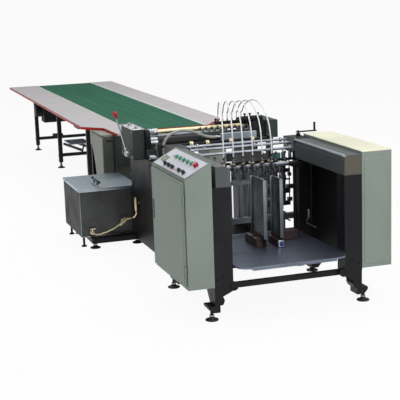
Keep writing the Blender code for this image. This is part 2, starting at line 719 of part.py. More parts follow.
# Glue comes up the left side, over the rollers in one bent hose and into the inlet box
inlet = box(
    "inlet_box", (0.150, INLET_Y - 0.020, INLET_Z - 0.031), (unit_right - GAP, INLET_Y + 0.020, INLET_Z + 0.029),
    slate, 0.004,
)
nozzle = rod("inlet_nozzle", (0.125, INLET_Y, INLET_Z), (0.160, INLET_Y, INLET_Z), 0.010, sides=12)
unite(inlet, nozzle)
glue_route = (
    (ELBOW_X, ELBOW_TOP + GAP), (ELBOW_X, ELBOW_TOP + 0.020), (ELBOW_X, ELBOW_TOP + 0.045), (-0.374, 1.035),
    (-0.335, 1.092), (-0.270, 1.126), (-0.190, 1.136), (-0.110, 1.120), (-0.035, 1.088),
    (0.030, 1.063), (0.080, INLET_Z), (0.102, INLET_Z), (0.125 - GAP, INLET_Z),
)
hose("glue_hose", [(x, INLET_Y, z) for x, z in glue_route], GLUE_HOSE_RADIUS, glue_grey)
elbow = box(
    "hose_elbow", (ELBOW_X - 0.028, INLET_Y - 0.028, ELBOW_TOP - 0.060),
    (ELBOW_X + 0.028, INLET_Y + 0.028, ELBOW_TOP),
)
bracket = box(
    "hose_bracket", (unit_left - 0.010, INLET_Y - 0.015, ELBOW_TOP - 0.058),
    (ELBOW_X, INLET_Y + 0.015, ELBOW_TOP - 0.030),
)
unite(left_plate, elbow, bracket)

manifold = box(
    "suction_manifold", (0.200, HOSE_REAR_Y - 0.017, HOSE_REAR_Z - 0.050),
    (unit_right + 0.010, HOSE_REAR_Y + 0.017, HOSE_REAR_Z - 0.020),
)
nipples = []
for order in range(SUCKERS):
    place = (HOSE_REAR_X + order * HOSE_REAR_PITCH, HOSE_REAR_Y)
    start, end = (*place, HOSE_REAR_Z - 0.030), (*place, HOSE_REAR_Z)
    nipples.append(rod("nipple_" + str(order), start, end, 0.006, sides=10))
unite(right_plate, manifold, *nipples)

# Each suction hose climbs forward from the manifold in an arc and drops onto its sucker.
# The arch is read as (share of the way forward, height)
hose_arch = (
    (0.04, 1.235), (0.10, 1.285), (0.20, 1.335), (0.33, 1.378), (0.47, 1.403),
    (0.62, 1.408), (0.76, 1.384), (0.87, 1.334), (0.945, 1.265), (0.985, 1.165),
)
for order in range(SUCKERS):
    rear = Vector((HOSE_REAR_X + order * HOSE_REAR_PITCH, HOSE_REAR_Y, HOSE_REAR_Z + GAP))
    front = Vector((SUCKER_FIRST_X + order * SUCKER_PITCH, sucker_y, SUCKER_TOP + GAP))
    route = [rear, rear + Vector((0, 0, 0.030)), rear + Vector((0, 0, 0.060))]
    for share, z in hose_arch:
        place = rear.lerp(front, share)
        route.append(Vector((place.x, place.y, z)))
    route += [front + Vector((0, 0, 0.060)), front + Vector((0, 0, 0.030)), front]
    hose("suction_hose_" + str(order + 1), route, HOSE_RADIUS, clear)

lever_at = Vector((housing_left_right - HOUSING_LEFT_WIDE - GAP, 2.100, 0.935))
lever = rod("glue_lever", lever_at, lever_at + Vector((-0.050, 0, 0)), 0.022, steel)
lever_tip = lever_at + Vector((-LEVER_LEAN, 0, LEVER_RISE))
lever_arm = rod("lever_arm", lever_at + Vector((-0.030, 0, 0)), lever_tip, 0.008)
knob = bmesh.new()
bmesh.ops.create_uvsphere(knob, u_segments=16, v_segments=10, radius=0.024)
lever_knob = solid("lever_knob", knob, lever_tip, smooth=True)
unite(lever, lever_arm, lever_knob)

# Glue tank on its stand
tank_right = TANK_LEFT + TANK_WIDE
tank_rear = TANK_FRONT + TANK_DEEP
stand = box(
    "tank_stand", (TANK_LEFT + 0.080, TANK_FRONT - 0.090, BASE_LOW), (base_left - GAP, tank_rear - 0.030, base_top),
    black, 0.004,
)
stand_feet = []
for x, y in (
    (TANK_LEFT + 0.120, TANK_FRONT - 0.020), (TANK_LEFT + 0.120, tank_rear - 0.080),
    (base_left - 0.060, tank_rear - 0.080),
):
    stand_feet.append(levelling_foot("stand_foot_" + str(len(stand_feet)), x, y, BASE_LOW + 0.010))
unite(stand, *stand_feet)
tank_low = base_top + GAP
tank_top = tank_low + TANK_HIGH
tank = box("glue_tank", (TANK_LEFT, TANK_FRONT, tank_low), (tank_right, tank_rear, tank_top), stainless)
tank_hollow = box(
    "tank_hollow", (TANK_LEFT + TANK_WALL, TANK_FRONT + TANK_WALL, tank_low + TANK_WALL),
    (tank_right - TANK_WALL, tank_rear - TANK_WALL, tank_top + 0.1),
)
cut(tank, tank_hollow)
lid = box(
    "tank_lid", (TANK_LEFT - 0.006, TANK_FRONT - 0.006, tank_top + GAP),
    (tank_right, tank_rear + 0.006, tank_top + GAP + LID_THICK), stainless,
)
handle_x, handle_z = TANK_LEFT + 0.200, tank_top + 0.050
handle = rod(
    "lid_handle", (handle_x, TANK_FRONT + 0.060, handle_z), (handle_x, TANK_FRONT + 0.300, handle_z), 0.008, sides=12
)
posts = []
for y in (TANK_FRONT + 0.120, TANK_FRONT + 0.250):
    start, end = (handle_x, y, tank_top + 0.002), (handle_x, y, handle_z + 0.002)
    posts.append(rod("lid_post_" + str(len(posts)), start, end, 0.006, sides=12))
unite(lid, handle, *posts)

valve_at = Vector((TANK_LEFT + 0.100, TANK_FRONT - GAP, tank_low + 0.045))
valve = rod("drain_valve", valve_at, valve_at + Vector((0, -0.050, 0)), 0.013, brass, sides=12)
valve_middle = valve_at + Vector((0, -0.030, 0))
valve_stem = rod("valve_stem", valve_middle, valve_middle + Vector((0, 0, 0.035)), 0.006, sides=10)
valve_grip = box(
    "valve_grip", valve_middle + Vector((-0.025, -0.008, 0.030)), valve_middle + Vector((0.025, 0.008, 0.040))
)
unite(valve, valve_stem, valve_grip)
pipe_start = valve_at + Vector((0, -0.050 - GAP, 0))
pipe_end = Vector((unit_left - PLATE_THICK - 0.030, 2.300, 0.380))
pipe_route = [
    pipe_start + Vector(step) for step in (
        (0, 0, 0), (0, -0.008, 0), (0, -0.020, 0), (0.015, -0.042, -0.004), (0.060, -0.060, 0),
        (0.180, -0.070, 0.040), (0.300, -0.090, 0.120),
    )
]
pipe_route += [
    pipe_end + Vector(step) for step in ((-0.020, 0.030, -0.080), (0, 0, -0.040), (0, 0, -0.020), (0, 0, 0))
]
hose("glue_pipe", pipe_route, 0.007, brass)
fitting = rod("pipe_fitting", pipe_end + Vector((0, 0, GAP)), pipe_end + Vector((0, 0, 0.100)), 0.016, brass, sides=12)
fitting_arm = rod(
    "fitting_arm", pipe_end + Vector((0, 0, 0.060)), (unit_left - PLATE_THICK - GAP, 2.300, 0.440), 0.010, sides=12
)
unite(fitting, fitting_arm)

# Belt table
bed_left = BELT_MID - BELT_HALF - STRIP_LEFT
bed_right = BELT_MID + BELT_HALF + STRIP_RIGHT
bed_top = TABLE_TOP - 0.003
roller_z = bed_top + GAP - END_ROLLER_RADIUS
bed_low = bed_top - BED_DEEP
slab_low = bed_top - BED_THICK
near_axle = TABLE_NEAR + AXLE_IN
far_axle = TABLE_FAR - AXLE_IN
bed_outline = [
    (bed_left, bed_top), (bed_left, bed_low), (bed_left + BED_WALL, bed_low), (bed_left + BED_WALL, slab_low),
    (bed_right - BED_WALL, slab_low), (bed_right - BED_WALL, bed_low), (bed_right, bed_low), (bed_right, bed_top),
]
bed = prism("belt_bed", bed_outline, "Y", TABLE_NEAR, TABLE_FAR, stainless)
for tag, start, end, axle in (
    ("near", TABLE_NEAR - 0.1, TABLE_NEAR + END_SPACE, near_axle),
    ("far", TABLE_FAR - END_SPACE, TABLE_FAR + 0.1, far_axle),
):
    notch = box(
        "bed_notch_" + tag, (BELT_MID - BELT_HALF - 0.006, start, bed_top - 0.05),
        (BELT_MID + BELT_HALF + 0.006, end, bed_top + 0.05),
    )
    axle_hole = rod(
        "axle_hole_" + tag, (bed_left - 0.1, axle, roller_z), (bed_right + 0.1, axle, roller_z),
        JOURNAL_RADIUS + RUNNING_GAP,
    )
    cut(bed, notch, axle_hole)
barrel_long = 2 * BELT_HALF
journal_end = barrel_long + STRIP_RIGHT
end_roller_profile = (
    (0, -STRIP_LEFT), (JOURNAL_RADIUS, -STRIP_LEFT), (JOURNAL_RADIUS, 0), (END_ROLLER_RADIUS - GAP, 0),
    (END_ROLLER_RADIUS - GAP, barrel_long), (JOURNAL_RADIUS, barrel_long), (JOURNAL_RADIUS, journal_end),
    (0, journal_end),
)
for name, y in (("head_roller", near_axle), ("tail_roller", far_axle)):
    turned(name, end_roller_profile, (BELT_MID - BELT_HALF, y, roller_z), steel, sides=24, axis="X")


def loop_outline(radius, near, far, z, steps=12):
    points = []
    for step in range(steps + 1):
        angle = math.radians(90 + 180 * step / steps)
        points.append((near + radius * math.cos(angle), z + radius * math.sin(angle)))
    for step in range(steps + 1):
        angle = math.radians(270 + 180 * step / steps)
        points.append((far + radius * math.cos(angle), z + radius * math.sin(angle)))
    return points


belt = prism(
    "conveyor_belt", loop_outline(END_ROLLER_RADIUS + BELT_THICK, near_axle, far_axle, roller_z), "X",
    BELT_MID - BELT_HALF, BELT_MID + BELT_HALF, green,
)
belt_inside = prism(
    "belt_inside", loop_outline(END_ROLLER_RADIUS, near_axle, far_axle, roller_z), "X",
    BELT_MID - BELT_HALF - 0.05, BELT_MID + BELT_HALF + 0.05,
)
cut(belt, belt_inside)

# A sheet deck bridges the way from the gluing unit to the belt, below the height of the rollers
deck_start, deck_end = UNIT_REAR + 0.060, TABLE_NEAR - GAP
deck_outline = [
    (deck_start, DECK_Z + 0.010), (deck_end, DECK_Z), (deck_end, DECK_Z - 0.090),
    (deck_end - 0.008, DECK_Z - 0.090), (deck_end - 0.008, DECK_Z - 0.012), (deck_start, DECK_Z - 0.002),
]
deck = prism("transfer_deck", deck_outline, "X", bed_left, unit_right - GAP, stainless)
deck_flange = box(
    "deck_flange", (unit_left + GAP, deck_start + 0.010, 0.860), (unit_right - GAP, deck_start + 0.016, DECK_Z)
)
unite(deck, deck_flange)

board_low, board_high = TABLE_TOP - BOARD_THICK, TABLE_TOP
left_in = bed_left - GAP
left_outline = [
    (left_in, TABLE_NEAR - 0.160), (left_in, TABLE_FAR), (LEFT_EDGE, TABLE_FAR), (LEFT_EDGE, TABLE_NEAR + 0.550),
    (-0.450, TABLE_NEAR + 0.340), (-0.430, TABLE_NEAR - 0.160),
]
prism("table_board_left", left_outline, "Z", board_low, board_high, board)
right_in = bed_right + GAP
right_outline = [
    (right_in, TABLE_FAR), (right_in, TABLE_NEAR), (RIGHT_EDGE, TABLE_NEAR + 0.450), (RIGHT_EDGE, TABLE_FAR),
]
prism("table_board_right", right_outline, "Z", board_low, board_high, board)


def edge_strip(name, outline):
    """A moulding along an open outline, outside the board that it covers."""
    points = [Vector((x, y)) for x, y in outline]
    outer = []
    inner = []
    for order, point in enumerate(points):
        before = points[max(order - 1, 0)]
        after = points[min(order + 1, len(points) - 1)]
        first = (point - before).normalized() if order else (after - point).normalized()
        last = (after - point).normalized() if order < len(points) - 1 else first
        way = (first + last).normalized()
        side = Vector((-way.y, way.x))
        reach = 1 / max(0.3, side.dot(Vector((-first.y, first.x))))
        inner.append(point + side * GAP * reach)
        outer.append(point + side * (GAP + EDGE_THICK) * reach)
    around = [tuple(point) for point in inner + outer[::-1]]
    return prism(name, around, "Z", board_low - 0.004, board_high, red)


edge_strip("table_edge_left", list(reversed(left_outline[1:])))
edge_strip("table_edge_right", list(reversed(right_outline[1:])))
box(
    "table_edge_front", (bed_left, TABLE_NEAR - EDGE_THICK, DECK_Z + GAP),
    (bed_right, TABLE_NEAR - GAP, bed_top + 0.002), red,
)

leg_left = bed_left - LEG_OUT
leg_right = bed_right + LEG_OUT
for order, from_end in enumerate(LEG_FROM_END):
    y = TABLE_FAR - from_end
    start, end = y - LEG_SIZE / 2, y + LEG_SIZE / 2
    name = "table_legs_" + str(order + 1)
    left_leg = box(name, (leg_left - LEG_SIZE, start, LEG_LOW), (leg_left, end, board_low - GAP), black)
    right_leg = box(name + "_right", (leg_right, start, LEG_LOW), (leg_right + LEG_SIZE, end, board_low - GAP))
    cross = box(name + "_cross", (leg_left - 0.015, y - 0.02, CROSS_LOW), (leg_right + 0.015, y + 0.02, CROSS_HIGH))
    feet = []
    for tag, x in (("left", leg_left - LEG_SIZE / 2), ("right", leg_right + LEG_SIZE / 2)):
        feet.append(levelling_foot(name + "_foot_" + tag, x, y, LEG_LOW + 0.015))
    unite(left_leg, right_leg, cross, *feet)

cover_top = board_low - 0.005
pedestal_outline = [(TABLE_NEAR, 0.0), (TABLE_NEAR, cover_top), (TABLE_NEAR + HEAD_COVER_DEEP, cover_top)]
for step in range(9):
    angle = math.radians(90 * step / 8)
    pedestal_outline.append((
        TABLE_NEAR + HEAD_COVER_DEEP - HEAD_COVER_WAIST * math.sin(angle),
        HEAD_COVER_BEND * math.cos(angle) + 0.120 * (1 - math.cos(angle)),
    ))
pedestal_outline.append((TABLE_NEAR + HEAD_COVER_DEEP - HEAD_COVER_WAIST, 0.0))
prism("head_cover_left", pedestal_outline, "X", bed_left - GAP - COVER_WIDE, bed_left - GAP, sage)
prism("head_cover_right", pedestal_outline, "X", bed_right + GAP, bed_right + 0.190, sage)
box(
    "clutch_box", (bed_left - 0.190, TABLE_NEAR - 0.150, CLUTCH_LOW),
    (bed_left - 0.070, TABLE_NEAR - GAP, cover_top), grey, 0.004,
)
box(
    "drive_box", (bed_left, TABLE_FAR - DRIVE_BOX_FROM_END[0], DRIVE_BOX_LOW),
    (bed_right, TABLE_FAR - DRIVE_BOX_FROM_END[1], bed_low - GAP), black, 0.004,
)

bpy.context.view_layer.update()
middle_x = (TANK_LEFT - 0.006 + FRAME_OUTER + GAP + HOUSING_WIDE) / 2
middle_y = (PILE_FRONT + TABLE_FAR + GAP + EDGE_THICK) / 2
line.location = (-middle_x, -middle_y, 0)
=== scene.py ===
"""The look of a glue coating line: its finishes and its fine pieces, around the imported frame."""

import json
import math

import bmesh
import bpy
from mathutils import Matrix, Vector

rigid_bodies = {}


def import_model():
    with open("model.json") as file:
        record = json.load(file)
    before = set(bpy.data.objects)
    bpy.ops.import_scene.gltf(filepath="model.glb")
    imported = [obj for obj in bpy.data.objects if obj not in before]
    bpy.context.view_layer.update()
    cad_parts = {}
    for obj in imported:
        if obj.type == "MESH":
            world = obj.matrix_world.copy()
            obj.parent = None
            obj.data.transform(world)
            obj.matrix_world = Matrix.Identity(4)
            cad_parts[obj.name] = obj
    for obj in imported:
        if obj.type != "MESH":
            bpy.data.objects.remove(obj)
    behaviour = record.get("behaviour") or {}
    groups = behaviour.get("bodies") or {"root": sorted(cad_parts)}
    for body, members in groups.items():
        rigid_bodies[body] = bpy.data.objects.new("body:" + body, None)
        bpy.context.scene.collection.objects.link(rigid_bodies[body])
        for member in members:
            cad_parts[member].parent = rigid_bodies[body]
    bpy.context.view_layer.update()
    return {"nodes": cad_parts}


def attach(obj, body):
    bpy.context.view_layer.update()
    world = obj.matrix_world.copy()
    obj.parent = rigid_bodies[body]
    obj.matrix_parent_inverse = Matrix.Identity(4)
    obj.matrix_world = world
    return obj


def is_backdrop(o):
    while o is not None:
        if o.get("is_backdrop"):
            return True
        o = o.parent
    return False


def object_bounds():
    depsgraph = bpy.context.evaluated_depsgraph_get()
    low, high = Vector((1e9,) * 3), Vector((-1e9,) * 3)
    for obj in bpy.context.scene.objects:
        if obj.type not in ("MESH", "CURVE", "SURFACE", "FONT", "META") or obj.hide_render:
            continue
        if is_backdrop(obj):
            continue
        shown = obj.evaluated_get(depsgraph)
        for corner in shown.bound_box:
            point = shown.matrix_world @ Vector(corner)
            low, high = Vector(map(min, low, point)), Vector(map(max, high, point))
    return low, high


for old in list(bpy.data.objects):
    bpy.data.objects.remove(old, do_unlink=True)
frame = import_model()
nodes = frame["nodes"]
scene = bpy.context.scene

# The line frame's zero lies on the floor, midway between the feeder's two front feet.
# Everything below is measured from there, as on the machine's own drawing.
LINE = Vector((0.08935, -4.36315, 0.0))

# Camera: on a stand of 2.5 m in front of the feeder, left of its middle, looking down the line.
eye = bpy.data.cameras.new("photo_view")
eye.lens = 100.5
eye.sensor_width = 36.0
eye.clip_end = 400.0
camera = bpy.data.objects.new("photo_view", eye)
scene.collection.objects.link(camera)
yaw, pitch, roll = math.radians(17.97), math.radians(11.56), math.radians(-1.94)
ahead = Vector((math.sin(yaw) * math.cos(pitch), math.cos(yaw) * math.cos(pitch), -math.sin(pitch)))
aside = Vector((math.cos(yaw), -math.sin(yaw), 0.0))
below = ahead.cross(aside)
camera_right = math.cos(roll) * aside - math.sin(roll) * below
camera_down = math.sin(roll) * aside + math.cos(roll) * below
camera.matrix_world = Matrix.Translation(LINE + Vector((-3.08, -7.425, 2.5))) @ Matrix(
    (camera_right, -camera_down, -ahead)
).transposed().to_4x4()
scene.camera = camera
scene.view_settings.view_transform = "Standard"


class Shade:
    """A value or colour of a finish's nodes. Sums, differences and products of values add Math nodes."""

    def __init__(self, socket):
        self.socket = socket

    def node(self, kind, settings=(), sockets=(), output=0):
        """Another node of the same finish, with its settings made first and then its sockets."""
        made = self.socket.id_data.nodes.new("ShaderNode" + kind)
        for setting, value in dict(settings).items():
            if setting == "stops":
                ramp = made.color_ramp
                while len(ramp.elements) < len(value):
                    ramp.elements.new(0.5)
                for stop, (place, shade) in zip(ramp.elements, value):
                    stop.position = place
                    stop.color = (*shade, 1.0)
            else:
                setattr(made, setting, value)
        for socket, value in dict(sockets).items():
            feed(made.inputs[socket], value)
        return Shade(made.outputs[output])

    def math(self, operation, *others):
        sockets = dict(enumerate((self, *others)))
        return self.node("Math", {"operation": operation}, sockets)

    def __add__(self, other):
        return self.math("ADD", other)

    __radd__ = __add__

    def __mul__(self, other):
        return self.math("MULTIPLY", other)

    __rmul__ = __mul__

    def __sub__(self, other):
        return self.math("SUBTRACT", other)

    def __rsub__(self, other):
        return self.node("Math", {"operation": "SUBTRACT"}, {0: other, 1: self})

    def noise(self, scale, detail=2.0, stretch=(1.0, 1.0, 1.0)):
        """Noise with about that many patches to the metre, drawn out along the axes of a small stretch."""
        place = self.node("Mapping", {}, {"Vector": self, "Scale": stretch})
        return self.node("TexNoise", {}, {"Vector": place, "Scale": scale, "Detail": detail})

    def between(self, low, high):
        """0 below one value and 1 above the other, with a soft step."""
        return self.node(
            "MapRange", {"interpolation_type": "SMOOTHSTEP"}, {
                "Value": self, "From Min": low, "From Max": high
            }
        )

    def tint(self, first, second):
        """The first colour where this is 0 and the second where it is 1."""
        return self.node("Mix", {"data_type": "RGBA"}, {0: self, 6: first, 7: second}, 2)


def feed(socket, value):
    """Links a Shade to a socket, or sets a plain value on it."""
    if isinstance(value, Shade):
        socket.id_data.links.new(value.socket, socket)
    elif isinstance(value, tuple) and len(value) == 3 and socket.type == "RGBA":
        socket.default_value = (*value, 1.0)
    else:
        socket.default_value = value


def new_finish(name):
    """A material, its Principled shader and its Object coordinates."""
    material = bpy.data.materials.new(name)
    material.use_nodes = True
    tree = material.node_tree
    place = Shade(tree.nodes.new("ShaderNodeTexCoord").outputs["Object"])
    return material, tree.nodes["Principled BSDF"], place


def set_finish(shader, place, bump=None, depth=0.001, **values):
    """Sets the shader's sockets, Base_Color for Base Color, and a bump of that depth in metres."""
    for socket, value in values.items():
        feed(shader.inputs[socket.replace("_", " ")], value)
    if bump is not None:
        normal = place.node("Bump", {}, {"Height": bump, "Distance": depth, "Strength": 1.0})
        feed(shader.inputs["Normal"], normal)


def steel_sheet_paint(name, colour, worn, shine=0.42, gloss=0.3):
    """Stoved enamel on sheet steel: slow drifts of tone, a fine orange peel, dust low down."""
    material, shader, place = new_finish(name)
    shader.inputs["Specular IOR Level"].default_value = gloss
    drift = place.noise(1.7, 3.0).between(0.3, 0.7)
    rub = place.noise(9.0, 6.0, (1.0, 1.0, 0.35)).between(0.58, 0.78)
    tone = drift.tint(tuple(0.93 * c for c in colour), tuple(min(1.0, 1.06 * c) for c in colour))
    height = place.node("SeparateXYZ", {}, {0: place}, 2)
    dust = (1.0 - height.between(0.05, 0.5)) * place.noise(6.0, 4.0).between(0.35, 0.7) * 0.35
    tone = dust.tint((rub * 0.25).tint(tone, worn), (0.3, 0.29, 0.26))
    set_finish(
        shader, place, bump=place.noise(420.0, 1.0), depth=0.00012,
        Base_Color=tone, Roughness=rub * 0.18 + drift * 0.06 + shine,
    )
    return material


def give(material, *names):
    """Puts a finish on CAD nodes, whose meshes stay as they are."""
    for name in names:
        slots = nodes[name].data.materials
        slots.clear()
        slots.append(material)


# Floor and light: a pale studio floor and a white surround, and two wide lamps that stand over the
# line and in front of the feeder.
floor_mesh = bpy.data.meshes.new("studio_floor")
floor_mesh.from_pydata([(-150, -150, 0), (150, -150, 0), (150, 250, 0), (-150, 250, 0)], [], [(0, 1, 2, 3)])
floor = bpy.data.objects.new("studio_floor", floor_mesh)
scene.collection.objects.link(floor)
floor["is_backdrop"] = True
floor_paint, floor_shader, floor_place = new_finish("studio_floor")
floor_shader.inputs["Base Color"].default_value = (0.86, 0.86, 0.86, 1.0)
floor_shader.inputs["Roughness"].default_value = 0.9
rays = floor_paint.node_tree.nodes.new("ShaderNodeLightPath")
seen = Shade(rays.outputs["Is Camera Ray"]).math("MAXIMUM", Shade(rays.outputs["Is Glossy Ray"]))
seen = seen.math("MAXIMUM", Shade(rays.outputs["Is Transmission Ray"]))
glow = seen.node("Emission", {}, {"Color": (1.0, 1.0, 1.0), "Strength": 1.0})
lit = floor_place.node("MixShader", {}, {0: seen * 0.93, 1: Shade(floor_shader.outputs[0]), 2: glow})
feed(floor_paint.node_tree.nodes["Material Output"].inputs["Surface"], lit)
floor_mesh.materials.append(floor_paint)

world = bpy.data.worlds.new("studio")
scene.world = world
world.use_nodes = True
sky = world.node_tree.nodes["Background"]
sky.inputs["Color"].default_value = (1.0, 1.0, 1.0, 1.0)
rays = world.node_tree.nodes.new("ShaderNodeLightPath")
seen = Shade(rays.outputs["Is Camera Ray"]).math("MAXIMUM", Shade(rays.outputs["Is Transmission Ray"]))
side = Shade(world.node_tree.nodes.new("ShaderNodeTexCoord").outputs["Generated"])
side = side.node("SeparateXYZ", {}, {0: side}, 0).between(-0.9, 0.4) * 0.26 + 0.2
feed(sky.inputs["Strength"], seen.math("MAXIMUM", side))


def lamp(name, at, aim, wide, high, power):
    """A wide soft box that looks at a point."""
    light = bpy.data.lights.new(name, "AREA")
    light.shape = "RECTANGLE"
    light.size = wide
    light.size_y = high
    light.energy = power
    holder = bpy.data.objects.new(name, light)
    scene.collection.objects.link(holder)
    holder.location = LINE + Vector(at)
    holder.rotation_euler = (Vector(aim) - Vector(at)).to_track_quat("-Z", "Y").to_euler()


lamp("overhead_lamp", (0.0, 3.5, 6.0), (0.0, 3.5, 0.0), 7.0, 12.0, 400.0)
lamp("front_lamp", (0.8, -6.5, 3.6), (0.0, 0.5, 0.6), 4.0, 3.0, 190.0)

# Housings: folded sheet steel, stove enamelled in sage green, with a paler cream on the lid of the drive
# housing, whose paleness is partly painted light from above. Covers and gear housings are greys of the same
# enamel, and the magnet blocks are brown.
sage_paint = steel_sheet_paint("sage_enamel", (0.235, 0.285, 0.25), (0.33, 0.36, 0.32))
give(sage_paint, "drive_housing", "control_cabinet", "cabinet_door")
# Dark copy of the covers' enamel: painted shade, for the front plate of the left head cover, which faces away
# from the light.
shaded_sage = steel_sheet_paint(
    "sage_enamel_painted_shade", (0.1, 0.108, 0.086), (0.15, 0.155, 0.14)
)
olive_paint = steel_sheet_paint("olive_enamel", (0.27, 0.285, 0.235), (0.34, 0.35, 0.31))
give(olive_paint, "head_cover_left", "head_cover_right")
grey_paint = steel_sheet_paint(
    "cover_grey_enamel", (0.082, 0.091, 0.092), (0.16, 0.16, 0.15), shine=0.32
)
give(grey_paint, "side_cover_left", "side_cover_right")
slate_paint = steel_sheet_paint(
    "unit_grey_enamel", (0.05, 0.06, 0.058), (0.09, 0.095, 0.09), gloss=0.06
)
give(slate_paint, "unit_housing_left", "unit_housing_right", "clutch_box")
# Cream enamel of the housing's lid: a real cream, made paler than it is as painted light from above.
cream_with_painted_light = steel_sheet_paint("cream_enamel_painted_light", (0.8, 0.8, 0.62), (0.66, 0.66, 0.52))
white_paint = steel_sheet_paint("panel_white_enamel", (0.6, 0.61, 0.68), (0.45, 0.45, 0.47))
give(white_paint, "control_panel")
magnet_paint = steel_sheet_paint("magnet_brown", (0.045, 0.026, 0.024), (0.1, 0.06, 0.05))
give(magnet_paint, "pile_stop_1", "pile_stop_2", "pile_stop_3")


def cast_paint(name, colour, dusty):
    """Black enamel over a sand casting: grainy, with dust in its hollows and oil on it."""
    material, shader, place = new_finish(name)
    shader.inputs["Specular IOR Level"].default_value = 0.2
    oil = place.noise(3.0, 4.0).between(0.4, 0.75)
    speck = place.noise(34.0, 6.0).between(0.55, 0.8)
    tone = (speck * 0.5 + oil * 0.3).tint(colour, dusty)
    grain = place.noise(260.0, 3.0) + place.noise(900.0, 1.0) * 0.3
    set_finish(
        shader, place, bump=grain, depth=0.0005, Base_Color=tone, Roughness=0.48 - oil * 0.16 + speck * 0.12
    )
    return material


black_paint = cast_paint("black_enamel", (0.0075, 0.0075, 0.0095), (0.026, 0.025, 0.025))
give(
    black_paint, "feeder_side_left", "feeder_side_right", "front_tie_bar", "unit_base",
    "unit_side_left", "unit_side_right", "tank_stand", "feed_shaft",
    "table_legs_1", "table_legs_2", "table_legs_3", "drive_box", "hand_crank",
)


def bare_metal(name, colour, dull, lay=(1.0, 1.0, 1.0), shine=0.2, rim=1.0):
    """Bare metal with fine lines along its lay, the axis with the smallest stretch, and dull patches."""
    material, shader, place = new_finish(name)
    shader.inputs["Specular Tint"].default_value = (rim, rim, rim, 1.0)
    fine = place.noise(300.0, 2.0, lay)
    patch = place.noise(5.0, 5.0).between(0.4, 0.75)
    tone = patch.tint(colour, dull)
    set_finish(
        shader, place, bump=fine, depth=0.00004,
        Base_Color=tone, Roughness=shine + fine * 0.12 + patch * 0.1, Metallic=1.0,
    )
    return material


chrome = bare_metal(
    "bright_steel", (0.46, 0.47, 0.51), (0.32, 0.32, 0.35), (0.02, 1.0, 1.0), 0.22
)
give(chrome, "glue_lever", "head_roller", "tail_roller")
rod_steel = bare_metal(
    "rod_steel", (0.33, 0.35, 0.4), (0.24, 0.25, 0.28), (0.02, 1.0, 1.0), 0.24
)
give(rod_steel, "cross_rods", "sucker_bar")
zinc = bare_metal("zinc_plate", (0.42, 0.43, 0.44), (0.28, 0.28, 0.28), shine=0.3)
oiled_steel = bare_metal("oiled_steel", (0.13, 0.14, 0.16), (0.07, 0.07, 0.075), shine=0.28)
guide_steel = bare_metal(
    "guide_steel", (0.2, 0.22, 0.23), (0.12, 0.13, 0.13), (1.0, 1.0, 0.04), 0.34
)
give(guide_steel, "rear_guide")
give(oiled_steel, "stripper_bar")
stainless = bare_metal(
    "stainless_sheet", (0.098, 0.102, 0.102), (0.07, 0.07, 0.068), (1.0, 1.0, 0.02), 0.4,
    0.62,
)
give(stainless, "glue_tank", "glue_trough")
lid_steel = bare_metal(
    "stainless_lid", (0.46, 0.54, 0.61), (0.34, 0.39, 0.43), (1.0, 0.02, 1.0), 0.3
)
give(lid_steel, "tank_lid", "belt_bed", "transfer_deck", "inlet_box")
pile_sheet = bare_metal(
    "pile_sheet", (0.19, 0.215, 0.28), (0.13, 0.145, 0.19), (1.0, 0.03, 1.0), 0.34
)
give(pile_sheet, "pile_table")
brass = bare_metal("brass", (0.68, 0.6, 0.38), (0.44, 0.38, 0.22), (0.02, 1.0, 1.0), 0.24)
give(brass, "brass_roller", "drain_valve", "glue_pipe", "pipe_fitting")


def moulded(name, colour, second, shine=0.4, coarse=140.0):
    """Moulded plastic or rubber: a fine grain and slow blotches of its second colour."""
    material, shader, place = new_finish(name)
    blotch = place.noise(24.0, 4.0).between(0.4, 0.75)
    grain = place.noise(coarse, 3.0)
    set_finish(
        shader, place, bump=grain, depth=0.0002,
        Base_Color=(blotch * 0.7).tint(colour, second), Roughness=grain * 0.1 + blotch * 0.1 + shine,
    )
    return material


rubber = moulded("black_rubber", (0.012, 0.012, 0.013), (0.035, 0.034, 0.033), 0.5)
give(rubber, "glue_roller")
red_plastic = moulded("red_plastic", (0.4, 0.01, 0.032), (0.3, 0.01, 0.022), 0.36)
green_plastic = moulded("green_plastic", (0.045, 0.31, 0.17), (0.03, 0.22, 0.12), 0.3)
teal_plastic = moulded("teal_plastic", (0.055, 0.2, 0.155), (0.04, 0.14, 0.11), 0.3)
pink_lens = moulded("pink_lens", (0.8, 0.46, 0.5), (0.66, 0.34, 0.4), 0.2)
blue_plastic = moulded("blue_plastic", (0.02, 0.05, 0.3), (0.015, 0.04, 0.2), 0.3)
screen_glass = moulded("screen_glass", (0.34, 0.34, 0.25), (0.26, 0.27, 0.2), 0.16)
bright_lid = bare_metal(
    "ground_lid", (0.72, 0.74, 0.76), (0.55, 0.56, 0.57), (0.03, 1.0, 1.0), 0.34
)

# Belt: green woven-backed PVC, one endless loop, matt, with a fine fabric print and long rub marks from
# the sheets.
belt_green, shader, place = new_finish("belt_green")
weave = place.noise(520.0, 1.0, (1.0, 0.35, 1.0))
streak = place.noise(26.0, 4.0, (1.0, 0.02, 1.0)).between(0.35, 0.75)
cloud = place.noise(2.2, 4.0).between(0.3, 0.7)
tone = (streak * 0.6 + cloud * 0.4).tint((0.01, 0.106, 0.058), (0.018, 0.13, 0.076))
shader.inputs["Specular IOR Level"].default_value = 0.15
set_finish(shader, place, bump=weave, depth=0.0004, Base_Color=tone, Roughness=0.66 - streak * 0.1)
give(belt_green, "conveyor_belt")

